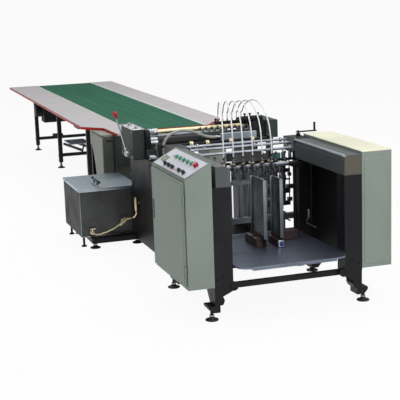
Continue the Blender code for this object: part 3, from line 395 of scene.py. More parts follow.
# Boards: chipboard with a laminate, pale grey with a breath of pink and a fine speck, screwed to the
# bed on both sides of the belt.
laminate, shader, place = new_finish("laminate")
speck = place.noise(330.0, 2.0).between(0.52, 0.7)
cloud = place.noise(1.3, 3.0).between(0.3, 0.7)
tone = (speck * 0.45 + cloud * 0.35).tint((0.5, 0.48, 0.495), (0.45, 0.425, 0.44))
set_finish(
    shader, place, bump=place.noise(180.0, 2.0), depth=0.0001, Base_Color=tone,
    Roughness=0.42 + cloud * 0.12,
)
give(laminate, "table_board_left", "table_board_right")

# Edging: red moulded plastic, pressed on the free edges of the boards, and scuffed along its length
# by hands and sheets.
edging, shader, place = new_finish("red_edging")
scuff = place.noise(30.0, 5.0, (1.0, 0.2, 1.0)).between(0.55, 0.75)
tone = scuff.tint((0.44, 0.03, 0.022), (0.32, 0.045, 0.035))
shader.inputs["Specular IOR Level"].default_value = 0.1
set_finish(shader, place, bump=scuff, depth=0.0002, Base_Color=tone, Roughness=0.34 + scuff * 0.25)
give(edging, "table_edge_left", "table_edge_right", "table_edge_front")

# Suction hoses: clear plastic tube, milky with age, pushed on barbs at both ends. The glue hose is a
# thicker grey tube with a wound reinforcement.
clear_tube, shader, place = new_finish("clear_tube")
milky = place.noise(12.0, 3.0).between(0.3, 0.7)
tone = milky.tint((0.78, 0.81, 0.82), (0.86, 0.88, 0.88))
set_finish(shader, place, Base_Color=tone, Roughness=0.45 + milky * 0.12)
give(clear_tube, *("suction_hose_%d" % number for number in range(1, 7)))
glue_tube, shader, place = new_finish("braided_tube")
wound = place.noise(160.0, 2.0)
tone = wound.between(0.4, 0.6).tint((0.3, 0.31, 0.29), (0.45, 0.45, 0.42))
set_finish(shader, place, bump=wound, depth=0.0006, Base_Color=tone, Roughness=0.35)
give(glue_tube, "glue_hose")


def shape_up(made, angle=35):
    """Puts a finished piece's place into its mesh, turns its faces outwards and smooths its rounded ones."""
    bpy.ops.object.select_all(action="DESELECT")
    bpy.context.view_layer.objects.active = made
    made.select_set(True)
    bpy.ops.object.transform_apply(location=True, rotation=True, scale=True)
    bpy.ops.object.mode_set(mode="EDIT")
    bpy.ops.mesh.select_all(action="SELECT")
    bpy.ops.mesh.normals_make_consistent(inside=False)
    bpy.ops.object.mode_set(mode="OBJECT")
    bpy.ops.object.shade_smooth_by_angle(angle=math.radians(angle))
    return made


def dress(made, material, body="line_frame"):
    """Gives a shaped piece its finish and the body it rides on."""
    shape_up(made)
    made.data.materials.clear()
    made.data.materials.append(material)
    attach(made, body)
    return made


def chamfer(made, width, steps=2):
    """Rounds the sharp edges of the piece, all in one go."""
    bpy.ops.object.mode_set(mode="EDIT")
    bpy.ops.mesh.select_mode(type="EDGE")
    bpy.ops.mesh.select_all(action="DESELECT")
    bpy.ops.mesh.edges_select_sharp(sharpness=math.radians(40))
    bpy.ops.mesh.bevel(offset=width, segments=steps, affect="EDGES")
    bpy.ops.object.mode_set(mode="OBJECT")
    return made


def block(name, low, high, edge=0.002):
    """A block between two corners of the line frame, with its edges rounded."""
    low, high = Vector(low), Vector(high)
    bpy.ops.object.select_all(action="DESELECT")
    bpy.ops.mesh.primitive_cube_add(size=1.0, location=LINE + (low + high) / 2, scale=high - low)
    made = bpy.context.active_object
    made.name = name
    bpy.ops.object.transform_apply(location=True, rotation=True, scale=True)
    return chamfer(made, edge)


def bar(name, start, end, radius, edge=0.001, sides=24, tip=None):
    """A round bar between two points, rounded at its rims; tip is its radius at the end, if it tapers."""
    start, end = Vector(start), Vector(end)
    way = end - start
    bpy.ops.object.select_all(action="DESELECT")
    bpy.ops.mesh.primitive_cone_add(
        vertices=sides, radius1=radius, radius2=tip or radius, depth=way.length,
        location=LINE + (start + end) / 2, rotation=way.to_track_quat("Z", "Y").to_euler(),
    )
    made = bpy.context.active_object
    made.name = name
    bpy.ops.object.transform_apply(location=True, rotation=True, scale=True)
    return chamfer(made, edge)


def lathe(name, start, out, rings, sides=24, edge=0.0008):
    """A turned piece: a disc drawn up ring by ring. Each ring is a radius and a height above the start."""
    bpy.ops.object.select_all(action="DESELECT")
    bpy.ops.mesh.primitive_circle_add(vertices=sides, radius=rings[0][0], fill_type="NGON")
    made = bpy.context.active_object
    made.name = name
    bpy.ops.object.mode_set(mode="EDIT")
    bpy.ops.mesh.select_mode(type="FACE")
    bpy.ops.mesh.select_all(action="SELECT")
    bpy.ops.transform.translate(value=(0, 0, rings[0][1]))
    for (radius, height), (wider, higher) in zip(rings, rings[1:]):
        bpy.ops.mesh.extrude_region_move(TRANSFORM_OT_translate={"value": (0, 0, higher - height)})
        bpy.ops.transform.resize(
            value=(wider / radius, wider / radius, 1.0), center_override=(0.0, 0.0, higher)
        )
    bpy.ops.object.mode_set(mode="OBJECT")
    made.rotation_euler = Vector(out).to_track_quat("Z", "Y").to_euler()
    made.location = LINE + Vector(start)
    bpy.ops.object.transform_apply(location=True, rotation=True, scale=True)
    return chamfer(made, edge)


def draw_out(made, facing, move, scale=1.0, rim=0.0):
    """Insets the faces that look one way, draws them by a vector and then scales them."""
    facing = Vector(facing)
    bpy.ops.object.select_all(action="DESELECT")
    bpy.context.view_layer.objects.active = made
    made.select_set(True)
    bpy.ops.object.mode_set(mode="EDIT")
    bpy.ops.mesh.select_mode(type="FACE")
    bpy.ops.mesh.select_all(action="DESELECT")
    work = bmesh.from_edit_mesh(made.data)
    widest = max(face.calc_area() for face in work.faces if face.normal.dot(facing) > 0.95)
    for face in work.faces:
        face.select_set(face.normal.dot(facing) > 0.95 and face.calc_area() > 0.5 * widest)
    bmesh.update_edit_mesh(made.data)
    if rim:
        bpy.ops.mesh.inset(thickness=rim)
    bpy.ops.mesh.extrude_region_move(TRANSFORM_OT_translate={"value": tuple(move)})
    if scale != 1.0:
        middle = sum((v.co for v in work.verts if v.select), Vector()) / sum(v.select for v in work.verts)
        bpy.ops.transform.resize(value=(scale, scale, scale), center_override=middle)
    bpy.ops.object.mode_set(mode="OBJECT")
    return made


def pressed(name, low, high, facing, depth, rim, material, body="line_frame", edge=0.001, scale=1.0):
    """A finished block whose field inside a rim, on the side it faces, is drawn out by a depth or sunk."""
    facing = Vector(facing)
    made = draw_out(block(name, low, high, edge), facing, depth * facing, scale, rim)
    return dress(made, material, body)


def joined(name, *parts):
    """Several shaped parts made one piece, as where they are welded or screwed together."""
    bpy.ops.object.select_all(action="DESELECT")
    for part in parts:
        part.select_set(True)
    bpy.context.view_layer.objects.active = parts[0]
    bpy.ops.object.join()
    parts[0].name = name
    return parts[0]


def copies(name, model, places):
    """Copies of a model that stands on +Z at the frame's zero, each placed and turned, as one piece."""
    made = []
    for at, out in places:
        copy = model.copy()
        copy.data = model.data.copy()
        scene.collection.objects.link(copy)
        turn = Vector(out).to_track_quat("Z", "Y").to_matrix().to_4x4()
        copy.matrix_world = Matrix.Translation(LINE + Vector(at)) @ turn @ Matrix.Translation(-LINE)
        made.append(copy)
    bpy.data.objects.remove(model, do_unlink=True)
    return joined(name, *made)


def hex_bolt(size):
    """A hexagon head on its washer, both of turned steel."""
    washer = lathe(
        "washer", (0, 0, 0), (0, 0, 1), [(size * 1.15, 0.0), (size * 1.15, size * 0.2)], 20, 0.0004
    )
    head = lathe(
        "head", (0, 0, 0), (0, 0, 1),
        [(size * 0.9, size * 0.2), (size * 0.9, size * 0.8), (size * 0.72, size * 0.9)], 6, 0.0005,
    )
    return joined("bolt", washer, head)


# Feeder castings: hexagon bolts of plated steel hold the feet and the tie bar. A lock nut sits on the
# thread of every levelling pad, against the foot that it carries.
FEEDER_FRONT, FEEDER_REAR = -0.03, 0.95
places = []
for side in (-1, 1):
    for x, z in ((0.458, 0.246), (0.515, 0.324), (0.565, 0.3)):
        places.append(((side * x, FEEDER_FRONT, z), (0, -1, 0)))
        places.append(((side * x, FEEDER_REAR, z), (0, 1, 0)))
dress(copies("feeder_bolts", hex_bolt(0.011), places), black_paint)
pads = [(side * 0.61, y, 0.0) for side in (-1, 1) for y in (0.0, 0.95)]
pads += [(0.055 + side * 0.53, y, 0.0) for side in (-1, 1) for y in (1.17, 2.57)]
pads += [(-0.89, 2.54, 0.0), (-0.89, 3.2, 0.0), (-0.555, 3.2, 0.0)]
LEG_Y = (5.35, 7.11, 8.82)
pads += [(x, y, 0.0) for x in (-0.29, 0.62) for y in LEG_Y]
nut = lathe("nut", (0, 0, 0.03), (0, 0, 1), [(0.02, 0.0), (0.02, 0.01), (0.017, 0.013)], 6, 0.0006)
dress(copies("pad_nuts", nut, [(at, (0, 0, 1)) for at in pads]), zinc)
sole = lathe(
    "sole", (0, 0, 0.0), (0, 0, 1),
    [(0.049, 0.0015), (0.0495, 0.004), (0.048, 0.009), (0.024, 0.016), (0.0205, 0.0245), (0.0165, 0.026)],
    28, 0.0006,
)
dress(copies("pad_soles", sole, [(at, (0, 0, 1)) for at in pads]), rubber)

# Covers and drive housing: pressed sheet caps on the castings, and a cream lid with turned-down edges on the
# housing, made paler as painted light from above, held by countersunk screws. Its long side is two sheets that
# meet in a seam.
HOUSING_LOW, HOUSING_HIGH = Vector((0.5903, -0.03, 0.262)), Vector((0.8373, 1.05, 1.155))
SHEET_LOW, SHEET_HIGH = 0.29, 1.12
pressed(
    "housing_lid", (HOUSING_LOW.x + 0.001, HOUSING_LOW.y - 0.002, HOUSING_HIGH.z - 0.006),
    (HOUSING_HIGH.x + 0.002, HOUSING_HIGH.y + 0.002, HOUSING_HIGH.z + 0.002),
    (0, 0, 1), 0.0008, 0.012, cream_with_painted_light, edge=0.003,
)
for tag, start, end in (("front", 0.0, 0.5), ("rear", 0.512, 1.02)):
    pressed(
        "housing_sheet_" + tag, (HOUSING_HIGH.x - 0.001, start, SHEET_LOW),
        (HOUSING_HIGH.x + 0.002, end, SHEET_HIGH), (1, 0, 0), -0.0006, 0.006, sage_paint,
    )
pressed(
    "housing_front_sheet", (0.612, -0.0325, SHEET_LOW), (0.816, -0.029, SHEET_HIGH),
    (0, -1, 0), -0.0006, 0.006, sage_paint,
)
screw = lathe(
    "screw", (0, 0, 0), (0, 0, 1), [(0.0065, 0.0), (0.0065, 0.0012), (0.0045, 0.0024)], 16, 0.0003
)
places = []
for y in (0.025, 0.475, 0.537, 0.995):
    for z in (0.32, 0.7, 1.09):
        places.append(((HOUSING_HIGH.x + 0.0012, y, z), (1, 0, 0)))
for x in (0.628, 0.8):
    for z in (0.32, 1.09):
        places.append(((x, -0.0318, z), (0, -1, 0)))
for side, x in ((-1, 0.5), (1, 0.52)):
    for y in (0.06, 0.45, 0.83):
        places.append(((side * x, y, 1.135), (0, 0, 1)))
dress(copies("cover_screws", screw, places), zinc)

# Right cover: its upper inner edge is a rolled bead of the same sheet, in a pale grey that is a painted
# highlight along the edge, and its front end is closed by a plate with a pressed field.
# Pale grey of the bead: a painted highlight, the light that the rolled edge catches.
bead_highlight_paint = steel_sheet_paint("grey_enamel_painted_highlight", (0.34, 0.37, 0.42), (0.26, 0.28, 0.3))
bead = bar("cover_bead", (0.45, -0.028, 1.132), (0.45, 0.898, 1.132), 0.0105, 0.002, 16)
dress(bead, bead_highlight_paint)
umber_paint = steel_sheet_paint(
    "umber_grey_enamel", (0.104, 0.094, 0.074), (0.15, 0.14, 0.12)
)
pressed(
    "cover_end", (0.452, -0.033, 0.99), (0.586, -0.029, 1.125), (0, -1, 0), -0.0008, 0.006, umber_paint
)

# Control cabinet: two pin hinges, a flush pull with its latch in the door's rear edge, and a rolled rim
# round the opening of the panel.
DOOR_FACE, DOOR_FRONT, DOOR_REAR, DOOR_LOW, DOOR_HIGH = -0.8086, -0.008, 0.778, 0.272, 1.038
SKIN_MARGIN = 0.008
pull = block("door_pull", (DOOR_FACE - 0.003, 0.722, 0.64), (DOOR_FACE + 0.004, 0.758, 0.79), 0.0025)
draw_out(pull, (-1, 0, 0), (0.005, 0, 0), 0.9, 0.007)
latch = lathe(
    "latch", (DOOR_FACE + 0.002, 0.74, 0.69), (-1, 0, 0), [(0.009, 0.0), (0.009, 0.006), (0.006, 0.007)]
)
dress(joined("door_pull", pull, latch), rubber, "cabinet_door")
pressed(
    "door_skin", (DOOR_FACE - 0.0015, DOOR_FRONT + SKIN_MARGIN, DOOR_LOW + SKIN_MARGIN),
    (DOOR_FACE + 0.002, DOOR_REAR - SKIN_MARGIN, DOOR_HIGH - SKIN_MARGIN),
    (-1, 0, 0), -0.0006, 0.01, sage_paint, "cabinet_door", 0.0012,
)
hinge = lathe(
    "hinge", (0, 0, 0), (0, 0, 1),
    [(0.005, 0.0), (0.0075, 0.002), (0.0075, 0.03), (0.0062, 0.031), (0.0062, 0.033), (0.0075, 0.034),
     (0.0075, 0.062), (0.005, 0.064)], 16, 0.0004,
)
places = [((DOOR_FACE + 0.006, DOOR_FRONT - 0.008, z), (0, 0, 1)) for z in (0.36, 0.88)]
dress(copies("door_hinges", hinge, places), sage_paint)

# Control panel: enamelled sheet set in a rim, with five green push buttons, a red stop mushroom, black
# selectors with a pointer, five pink lamps and a small read-out behind glass.
PANEL_LIFT = 0.0045
panel_slope = math.atan2(0.105, 0.2)
panel_across = Vector((math.cos(panel_slope), 0.0, math.sin(panel_slope)))
panel_out = Vector((-math.sin(panel_slope), 0.0, math.cos(panel_slope)))
panel_middle = Vector((-0.6903, 0.385, 1.1125))


def on_panel(along, across, out=0.0):
    return panel_middle + Vector((0, along, 0)) + panel_across * across + panel_out * (PANEL_LIFT + out)


ring = lathe(
    "ring", (0, 0, 0), (0, 0, 1), [(0.0195, 0.0), (0.0195, 0.003), (0.0165, 0.005), (0.016, 0.002)], 28
)
UPPER_ROW, LOWER_ROW, STOP_ALONG = 0.034, -0.068, -0.3
green_places = [on_panel(0.158 - order * 0.089, UPPER_ROW) for order in range(5)]
dark_places = [on_panel(along, LOWER_ROW) for along in (0.166, 0.075, -0.017, -0.183, -0.282)]
ring_places = [(at, panel_out) for at in green_places + dark_places + [on_panel(STOP_ALONG, UPPER_ROW)]]
dress(copies("button_rings", ring, ring_places), zinc)
cap = lathe(
    "cap", (0, 0, 0.001), (0, 0, 1), [(0.016, 0.0), (0.016, 0.0165), (0.014, 0.0185), (0.011, 0.0178)],
    24,
)
dress(copies("green_buttons", cap, [(at, panel_out) for at in green_places]), green_plastic)
knob = lathe(
    "knob", (0, 0, 0.001), (0, 0, 1), [(0.0145, 0.0), (0.0145, 0.01), (0.0135, 0.023), (0.0115, 0.0245)], 24
)
grip = block("grip", (-0.015, -0.0045, 0.012), (0.015, 0.0045, 0.031), 0.0012)
dress(
    copies("selector_knobs", joined("selector", knob, grip), [(at, panel_out) for at in dark_places]),
    rubber,
)
mushroom = lathe(
    "stop_mushroom", on_panel(STOP_ALONG, UPPER_ROW), panel_out,
    [(0.0203, 0.001), (0.0203, 0.022), (0.0212, 0.024), (0.0212, 0.028), (0.019, 0.031), (0.012, 0.033)], 32,
)
dress(mushroom, red_plastic)
lens = lathe(
    "lens", (0, 0, 0), (0, 0, 1), [(0.01, 0.0), (0.01, 0.006), (0.008, 0.01), (0.004, 0.0115)], 20
)
lamp_places = [(on_panel(along, LOWER_ROW), panel_out) for along in (-0.13, -0.075, 0.03, 0.12)]
lamp_places.append((on_panel(0.23, UPPER_ROW), panel_out))
dress(copies("panel_lamps", lens, lamp_places), pink_lens)
window = block("window", (-0.03, -0.04, 0.0), (0.03, 0.04, 0.01), 0.002)
draw_out(window, (0, 0, 1), (0, 0, -0.004), 1.0, 0.007)
window_turn = Matrix((panel_across, (0, 1, 0), panel_out)).transposed().to_4x4()
window.matrix_world = Matrix.Translation(LINE + on_panel(0.306, -0.023)) @ window_turn @ Matrix.Translation(
    -LINE
)
dress(window, screen_glass)
rims = []
RIM_ALONG, RIM_ACROSS = 0.402, 0.106
for side in (-1, 1):
    start, end = on_panel(-RIM_ALONG, side * RIM_ACROSS), on_panel(RIM_ALONG, side * RIM_ACROSS)
    rims.append(bar("rim", start, end, 0.0045, sides=12))
    start, end = on_panel(side * RIM_ALONG, -RIM_ACROSS), on_panel(side * RIM_ALONG, RIM_ACROSS)
    rims.append(bar("rim", start, end, 0.0045, sides=12))
dress(joined("panel_rim", *rims), sage_paint)

# Pile guides: folded steel channels screwed to magnet blocks, which hold them on the pile table. The
# right block has a plated nose with a blue plug, and the small one an eccentric that locks it.
GUIDE_TOP, PILE_TOP = 0.93, 0.4
for tag, x_low, x_high, y_front, y_rear in (
    ("left", -0.0455, -0.0345, 0.325, 0.6), ("right", 0.0895, 0.1005, 0.325, 0.52),
):
    web = block(
        "web", (x_low - 0.001, y_front - 0.001, 0.47),
        (x_high + 0.001, y_rear + 0.001, GUIDE_TOP + 0.001), 0.0008,
    )
    draw_out(web, (1, 0, 0), (-0.0012, 0, 0), 1.0, 0.012)
    draw_out(web, (-1, 0, 0), (0.0012, 0, 0), 1.0, 0.012)
    flanges = []
    for y in (y_front, y_rear - 0.003):
        flanges.append(block("flange", (x_low - 0.016, y, 0.475), (x_high, y + 0.003, GUIDE_TOP), 0.0008))
    dress(joined("guide_channel_" + tag, web, *flanges), guide_steel, "pile_lift")
bolt_places = []
for x, y in ((-0.088, 0.42), (-0.088, 0.6), (0.062, 0.5)):
    bolt_places.append(((x, y, PILE_TOP + 0.0675 if x < 0 else PILE_TOP + 0.056), (0, 0, 1)))
for z in (0.5, 0.56):
    bolt_places += [((-0.0455, y, z), (-1, 0, 0)) for y in (0.4, 0.56)]
    bolt_places += [((0.1005, y, z), (1, 0, 0)) for y in (0.36, 0.48)]
dress(copies("guide_bolts", hex_bolt(0.0075), bolt_places), zinc, "pile_lift")
brackets = []
for y in (0.44, 0.56):
    bracket = block(
        "bracket", (-0.098, y - 0.012, PILE_TOP + 0.066), (-0.046, y + 0.012, PILE_TOP + 0.07), 0.0008
    )
    draw_out(bracket, (1, 0, 0), (0.0015, 0, 0.026), 1.0)
    brackets.append(bracket)
dress(joined("guide_brackets", *brackets), chrome, "pile_lift")
pressed(
    "nose", (0.053, 0.316, PILE_TOP + 0.003), (0.101, 0.334, PILE_TOP + 0.056),
    (0, -1, 0), -0.003, 0.006, chrome, "pile_lift", 0.003, 0.96,
)
pressed(
    "nose_plug", (0.064, 0.312, PILE_TOP + 0.014), (0.09, 0.322, PILE_TOP + 0.045),
    (0, -1, 0), 0.002, 0.003, blue_plastic, "pile_lift", 0.0015, 0.9,
)
grip = lathe(
    "lock_grip", (0.215, 0.59, PILE_TOP + 0.15), (0, 0, 1),
    [(0.011, 0.0), (0.015, 0.006), (0.0165, 0.035), (0.015, 0.062), (0.0115, 0.07)], 20,
)
dress(grip, rubber, "pile_lift")

# Pile table: steel sheet with a folded front lip, on two lift chains with links of two plates each. The
# chains end just below the covers, which hide their sprockets.
pressed(
    "pile_lip", (-0.33, -0.142, PILE_TOP - 0.026), (0.33, -0.1385, PILE_TOP - 0.001),
    (0, -1, 0), -0.0008, 0.004, pile_sheet, "pile_lift",
)
for middle in (-0.3, 0.3):
    pressed(
        "rib", (middle - 0.015, -0.08, PILE_TOP - 0.04), (middle + 0.015, 0.76, PILE_TOP - 0.0125),
        (0, 0, -1), -0.004, 0.006, zinc, "pile_lift", 0.002,
    )
link = block("link", (-0.0045, -0.0035, 0.0), (0.0045, 0.0035, 0.0145), 0.0015)
pin = bar("pin", (0.0, -0.0055, 0.007), (0.0, 0.0055, 0.007), 0.0026, 0.0004, 8)
places = []
for side in (-1, 1):
    for order in range(34):
        places.append(((side * 0.4405, 0.56, 0.465 + order * 0.0152), (0, 0, 1)))
dress(copies("lift_chains", joined("chain_link", link, pin), places), black_paint)

# Suction head: six brass-bodied suckers in split clamps on one chromed bar. Each has a knurled lock nut,
# a return spring, a rubber cup and the barbed nipple that its hose is pushed on.
BAR_Z, SUCKER_Y = 0.95, 0.828
sucker_x = [-0.195 + order * 0.082 for order in range(6)]


def at_suckers(name, model, material, y=SUCKER_Y, z=BAR_Z, out=(0, 0, 1)):
    return dress(copies(name, model, [((x, y, z), out) for x in sucker_x]), material)


shell = block("split_clamp", (-0.016, -0.016, -0.024), (0.016, 0.056, 0.024), 0.0025)
draw_out(shell, (0, 1, 0), (0, -0.004, 0), 1.0, 0.005)
at_suckers("sucker_clamps", shell, oiled_steel)
body = lathe(
    "body", (0, 0, -0.058), (0, 0, 1),
    [(0.0085, 0.0), (0.0085, 0.026), (0.011, 0.028), (0.011, 0.034), (0.0085, 0.036), (0.0085, 0.086),
     (0.011, 0.088), (0.011, 0.097), (0.008, 0.099), (0.008, 0.118)], 20,
)
at_suckers("sucker_bodies", body, oiled_steel)
cup = lathe(
    "cup", (0, 0, -0.0855), (0, 0, 1),
    [(0.019, 0.0), (0.02, 0.003), (0.015, 0.01), (0.0165, 0.014), (0.012, 0.021), (0.0095, 0.028)], 20,
)
at_suckers("sucker_cups", cup, rubber)
knurl = lathe(
    "knurl", (0, 0, 0.03), (0, 0, 1), [(0.0125, 0.0), (0.0138, 0.002), (0.0138, 0.01), (0.0125, 0.012)],
    16,
)
at_suckers("sucker_lock_nuts", knurl, brass)
bpy.ops.object.select_all(action="DESELECT")
bpy.ops.mesh.primitive_circle_add(
    vertices=8, radius=0.0013, location=(0.0105, 0, -0.052), rotation=(math.pi / 2, 0, 0)
)
spring = bpy.context.active_object
bpy.ops.object.transform_apply(location=True, rotation=True, scale=True)
winding = spring.modifiers.new("winding", "SCREW")
winding.angle, winding.screw_offset, winding.iterations = math.tau, 0.0052, 5
winding.steps, winding.render_steps = 12, 12
winding.use_normal_calculate = True
bpy.ops.object.modifier_apply(modifier="winding")
bpy.ops.object.mode_set(mode="EDIT")
bpy.ops.mesh.select_all(action="DESELECT")
bpy.ops.mesh.select_mode(type="EDGE")
bpy.ops.mesh.select_non_manifold()
bpy.ops.mesh.fill_holes(sides=12)
bpy.ops.object.mode_set(mode="OBJECT")
spring.location = LINE
bpy.ops.object.transform_apply(location=True, rotation=True, scale=True)
at_suckers("sucker_springs", spring, chrome)
barb = lathe(
    "barb", (0, 0, 0.0805), (0, 0, 1),
    [(0.0068, 0.0), (0.009, 0.001), (0.0072, 0.01), (0.0085, 0.011), (0.007, 0.018)], 16, 0.0004,
)
at_suckers("hose_sleeves", barb, rubber)
thumb = joined(
    "thumb_screw", bar("thumb", (0, 0, 0), (0, 0, 0.016), 0.0038, 0.0005, 12),
    lathe(
        "thumb_head", (0, 0, 0.014), (0, 0, 1),
        [(0.0085, 0.0), (0.0095, 0.002), (0.0095, 0.011), (0.008, 0.013)], 14,
    ),
)
at_suckers("clamp_thumb_screws", thumb, rubber, SUCKER_Y + 0.055, BAR_Z, (0, 1, 0.35))

# Carrier bar behind the suckers: square steel, with clamped slides, brass unions, the holders of three
# sheet pickers and the moulded air valve.
CARRIER_Y, CARRIER_Z = 0.925, 0.975
pressed(
    "head_carrier", (-0.446, CARRIER_Y - 0.01, CARRIER_Z - 0.01), (
        0.446, CARRIER_Y + 0.01, CARRIER_Z + 0.01
    ),
    (0, -1, 0), -0.0015, 0.005, black_paint, edge=0.0015,
)
slide = joined(
    "slide", block("slide_body", (-0.015, -0.014, -0.015), (0.015, 0.014, 0.015), 0.002),
    bar("slide_stem", (0, 0, -0.075), (0, 0, 0.055), 0.0048, 0.0006, 14),
    lathe(
        "slide_knob", (0, 0, 0.05), (0, 0, 1),
        [(0.0085, 0.0), (0.0105, 0.003), (0.0105, 0.016), (0.008, 0.02)], 14,
    ),
)
slide_x = [-0.35, -0.236, -0.154, -0.072, 0.01, 0.092, 0.174, 0.29, 0.37]
dress(
    copies("carrier_slides", slide, [((x, CARRIER_Y, CARRIER_Z), (0, 0, 1)) for x in slide_x]), oiled_steel
)
union = lathe(
    "union", (0, 0, 0), (0, 0, 1),
    [(0.0065, 0.0), (0.0065, 0.008), (0.0105, 0.009), (0.0105, 0.018), (0.0065, 0.019), (0.0055, 0.03)], 6,
    0.0005,
)
places = [((x, CARRIER_Y - 0.012, CARRIER_Z), (0, -1, 0.2)) for x in (-0.11, 0.051, 0.215)]
dress(copies("air_unions", union, places), brass)
picker = joined(
    "picker", block("picker_arm", (-0.004, -0.006, -0.125), (0.004, 0.006, 0.0), 0.0015),
    block("picker_foot", (-0.004, -0.033, -0.128), (0.004, 0.005, -0.121), 0.0015),
)
dress(
    copies("sheet_pickers", picker, [((x, CARRIER_Y, 0.962), (0, 0, 1)) for x in (-0.3, 0.051, 0.32)]),
    zinc,
)
pressed(
    "air_valve", (0.28, 0.938, 0.968), (0.338, 0.975, 1.028),
    (0, -1, 0), 0.004, 0.008, teal_plastic, edge=0.003, scale=0.9,
)

# Blowing air: a junction block at the left of the carrier bar, and two slim cylinders at its right that
# lift the separator blades, each with a clamped port.
pressed(
    "air_junction", (-0.128, 0.94, 0.99), (-0.074, 0.96, 1.065),
    (0, -1, 0), 0.004, 0.008, slate_paint, edge=0.003, scale=0.9,
)
for tag, x in (("left", 0.364), ("right", 0.426)):
    cylinder = joined(
        "air_cylinder_" + tag, bar("barrel", (x, 0.955, 0.965), (x, 0.955, 1.03), 0.014, 0.002, 20),
        bar("piston_rod", (x, 0.955, 1.029), (x, 0.955, 1.052), 0.005, 0.0006, 12),
        block("port", (x - 0.01, 0.937, 0.978), (x + 0.01, 0.945, 0.992), 0.002),
    )
    dress(cylinder, pile_sheet)

# Sheet joggers: thin steel rods that hang from the carrier bar, with tappers clamped at staggered heights
# and flat links from rod to rod. Thin pinned blades hang at their left, and the valve's hose runs down.
JOGGER_X = (0.165, 0.225, 0.285, 0.345, 0.405)
hangers = []
for order, x in enumerate(JOGGER_X):
    low = 0.56 + 0.035 * (order % 3)
    hangers.append(bar("hanger", (x, CARRIER_Y, low), (x, CARRIER_Y, 0.965), 0.005, 0.0006, 12))
    for step in range(3):
        z = low + 0.03 + 0.105 * step + 0.012 * (order % 2)
        wide = 0.013 + 0.007 * ((order + step) % 3)
        hangers.append(
            block("tapper", (x - wide, 0.908, z), (x + wide, 0.936, z + 0.022 + wide / 2), 0.002)
        )
        hangers.append(
            bar("tapper_screw", (x, 0.938, z + 0.011), (x, 0.908, z + 0.011), 0.007, 0.0008, 6)
        )
for z, high in ((0.588, 0.04), (0.69, 0.048), (0.8, 0.014), (0.865, 0.033)):
    hangers.append(
        block("link", (JOGGER_X[0] - 0.012, 0.931, z), (JOGGER_X[-1] + 0.012, 0.935, z + high), 0.0008)
    )
hangers.append(block("plate", (0.335, 0.936, 0.62), (0.378, 0.94, 0.94), 0.001))
dress(joined("sheet_joggers", *hangers), oiled_steel)
blades = []
for x in (-0.345, -0.268, -0.18, -0.1, -0.02):
    blades.append(block("blade", (x - 0.007, 0.91, 0.83), (x + 0.007, 0.913, 0.966), 0.0006))
    blades.append(bar("blade_pin", (x, 0.906, 0.89), (x, 0.92, 0.89), 0.0065, 0.0008, 12))
dress(joined("separator_blades", *blades), guide_steel)
line_points = [(0.3, 0.96, 0.98), (0.345, 0.97, 0.9), (0.33, 0.965, 0.78), (0.3, 0.96, 0.66),
               (0.318, 0.96, 0.57), (0.345, 0.955, 0.49), (0.42, 0.95, 0.45)]
runs = [bar("run", start, end, 0.0062, 0.0008, 12) for start, end in zip(line_points, line_points[1:])]
SADDLE_HALF = Vector((0.018, 0.012, 0.012))
for at in (line_points[1], line_points[4]):
    runs.append(block("saddle", Vector(at) - SADDLE_HALF, Vector(at) + SADDLE_HALF, 0.003))
dress(joined("valve_air_line", *runs), rubber)

# Sheet guides: drawn steel tubes that stand behind the pile, one below each sucker, with a shoe at the
# bottom; and the switch of the pile's height beside the right casting, with the strip that trips it.
tube = joined(
    "guide_tube", bar("tube", (0, 0, 0.0), (0, 0, 0.4), 0.0095, 0.001, 16),
    block("tube_shoe", (-0.013, -0.012, -0.022), (0.013, 0.012, 0.004), 0.002),
)
dress(
    copies("sheet_guide_tubes", tube, [((x - 0.012, 0.915, 0.5), (0, 0, 1)) for x in sucker_x]),
    pile_sheet,
)
switch = joined(
    "height_switch", block("switch_body", (0.43, 0.602, 0.54), (0.4465, 0.622, 0.61), 0.002),
    bar("switch_arm", (0.438, 0.612, 0.544), (0.438, 0.66, 0.508), 0.0045, 0.0006, 12),
    block("trip_strip", (0.44, 0.49, 0.482), (0.4468, 0.67, 0.49), 0.001),
)
dress(switch, zinc)

# Cross rods: chromed rods in clamped ends, each bolted to the castings, with turned set collars that
# keep the sheet wheels in their places.
RODS = ((1.08, 1.115), (0.99, 1.1), (0.93, 1.065))
collar = lathe(
    "collar", (0, 0, -0.009), (0, 0, 1), [(0.016, 0.0), (0.0185, 0.002), (0.0185, 0.016), (0.016, 0.018)],
    24,
)
places = []
for (y, z), row in zip(RODS, ((-0.33, 0.06, 0.395), (-0.3, 0.13, 0.405), (-0.36, 0.25, 0.415))):
    places += [((x, y, z), (1, 0, 0)) for x in row]
dress(copies("rod_collars", collar, places), zinc)
places = []
for y, z in RODS:
    places += [((side * 0.435, y, z), (-side, 0, 0)) for side in (-1, 1)]
dress(copies("rod_end_bolts", hex_bolt(0.01), places), zinc)

# Roller ends: a chromed sleeve on the brass roller and a hardened gear rim on the rubber one, both
# pressed on at the left. The feed shaft carries wheels with turned brass rims.
ROLLER_LEFT, GLUE_Y, GLUE_Z, BRASS_Y, BRASS_Z = -0.469, 2.03, 1.03, 2.085, 1.112
sleeve = lathe(
    "roller_sleeve", (ROLLER_LEFT - 0.001, BRASS_Y, BRASS_Z), (1, 0, 0),
    [(0.029, 0.0), (0.032, 0.002), (0.032, 0.04), (0.0306, 0.042), (0.0306, 0.048), (0.032, 0.05),
     (0.032, 0.093), (0.027, 0.0965)], 36,
)
dress(sleeve, chrome, "brass_roller")
rim = lathe(
    "roller_gear", (ROLLER_LEFT - 0.001, GLUE_Y, GLUE_Z), (1, 0, 0),
    [(0.048, 0.0), (0.051, 0.002), (0.051, 0.016), (0.049, 0.018), (0.049, 0.028), (0.05, 0.03),
     (0.05, 0.07), (0.0485, 0.072)], 40,
)
dress(rim, chrome, "glue_roller")
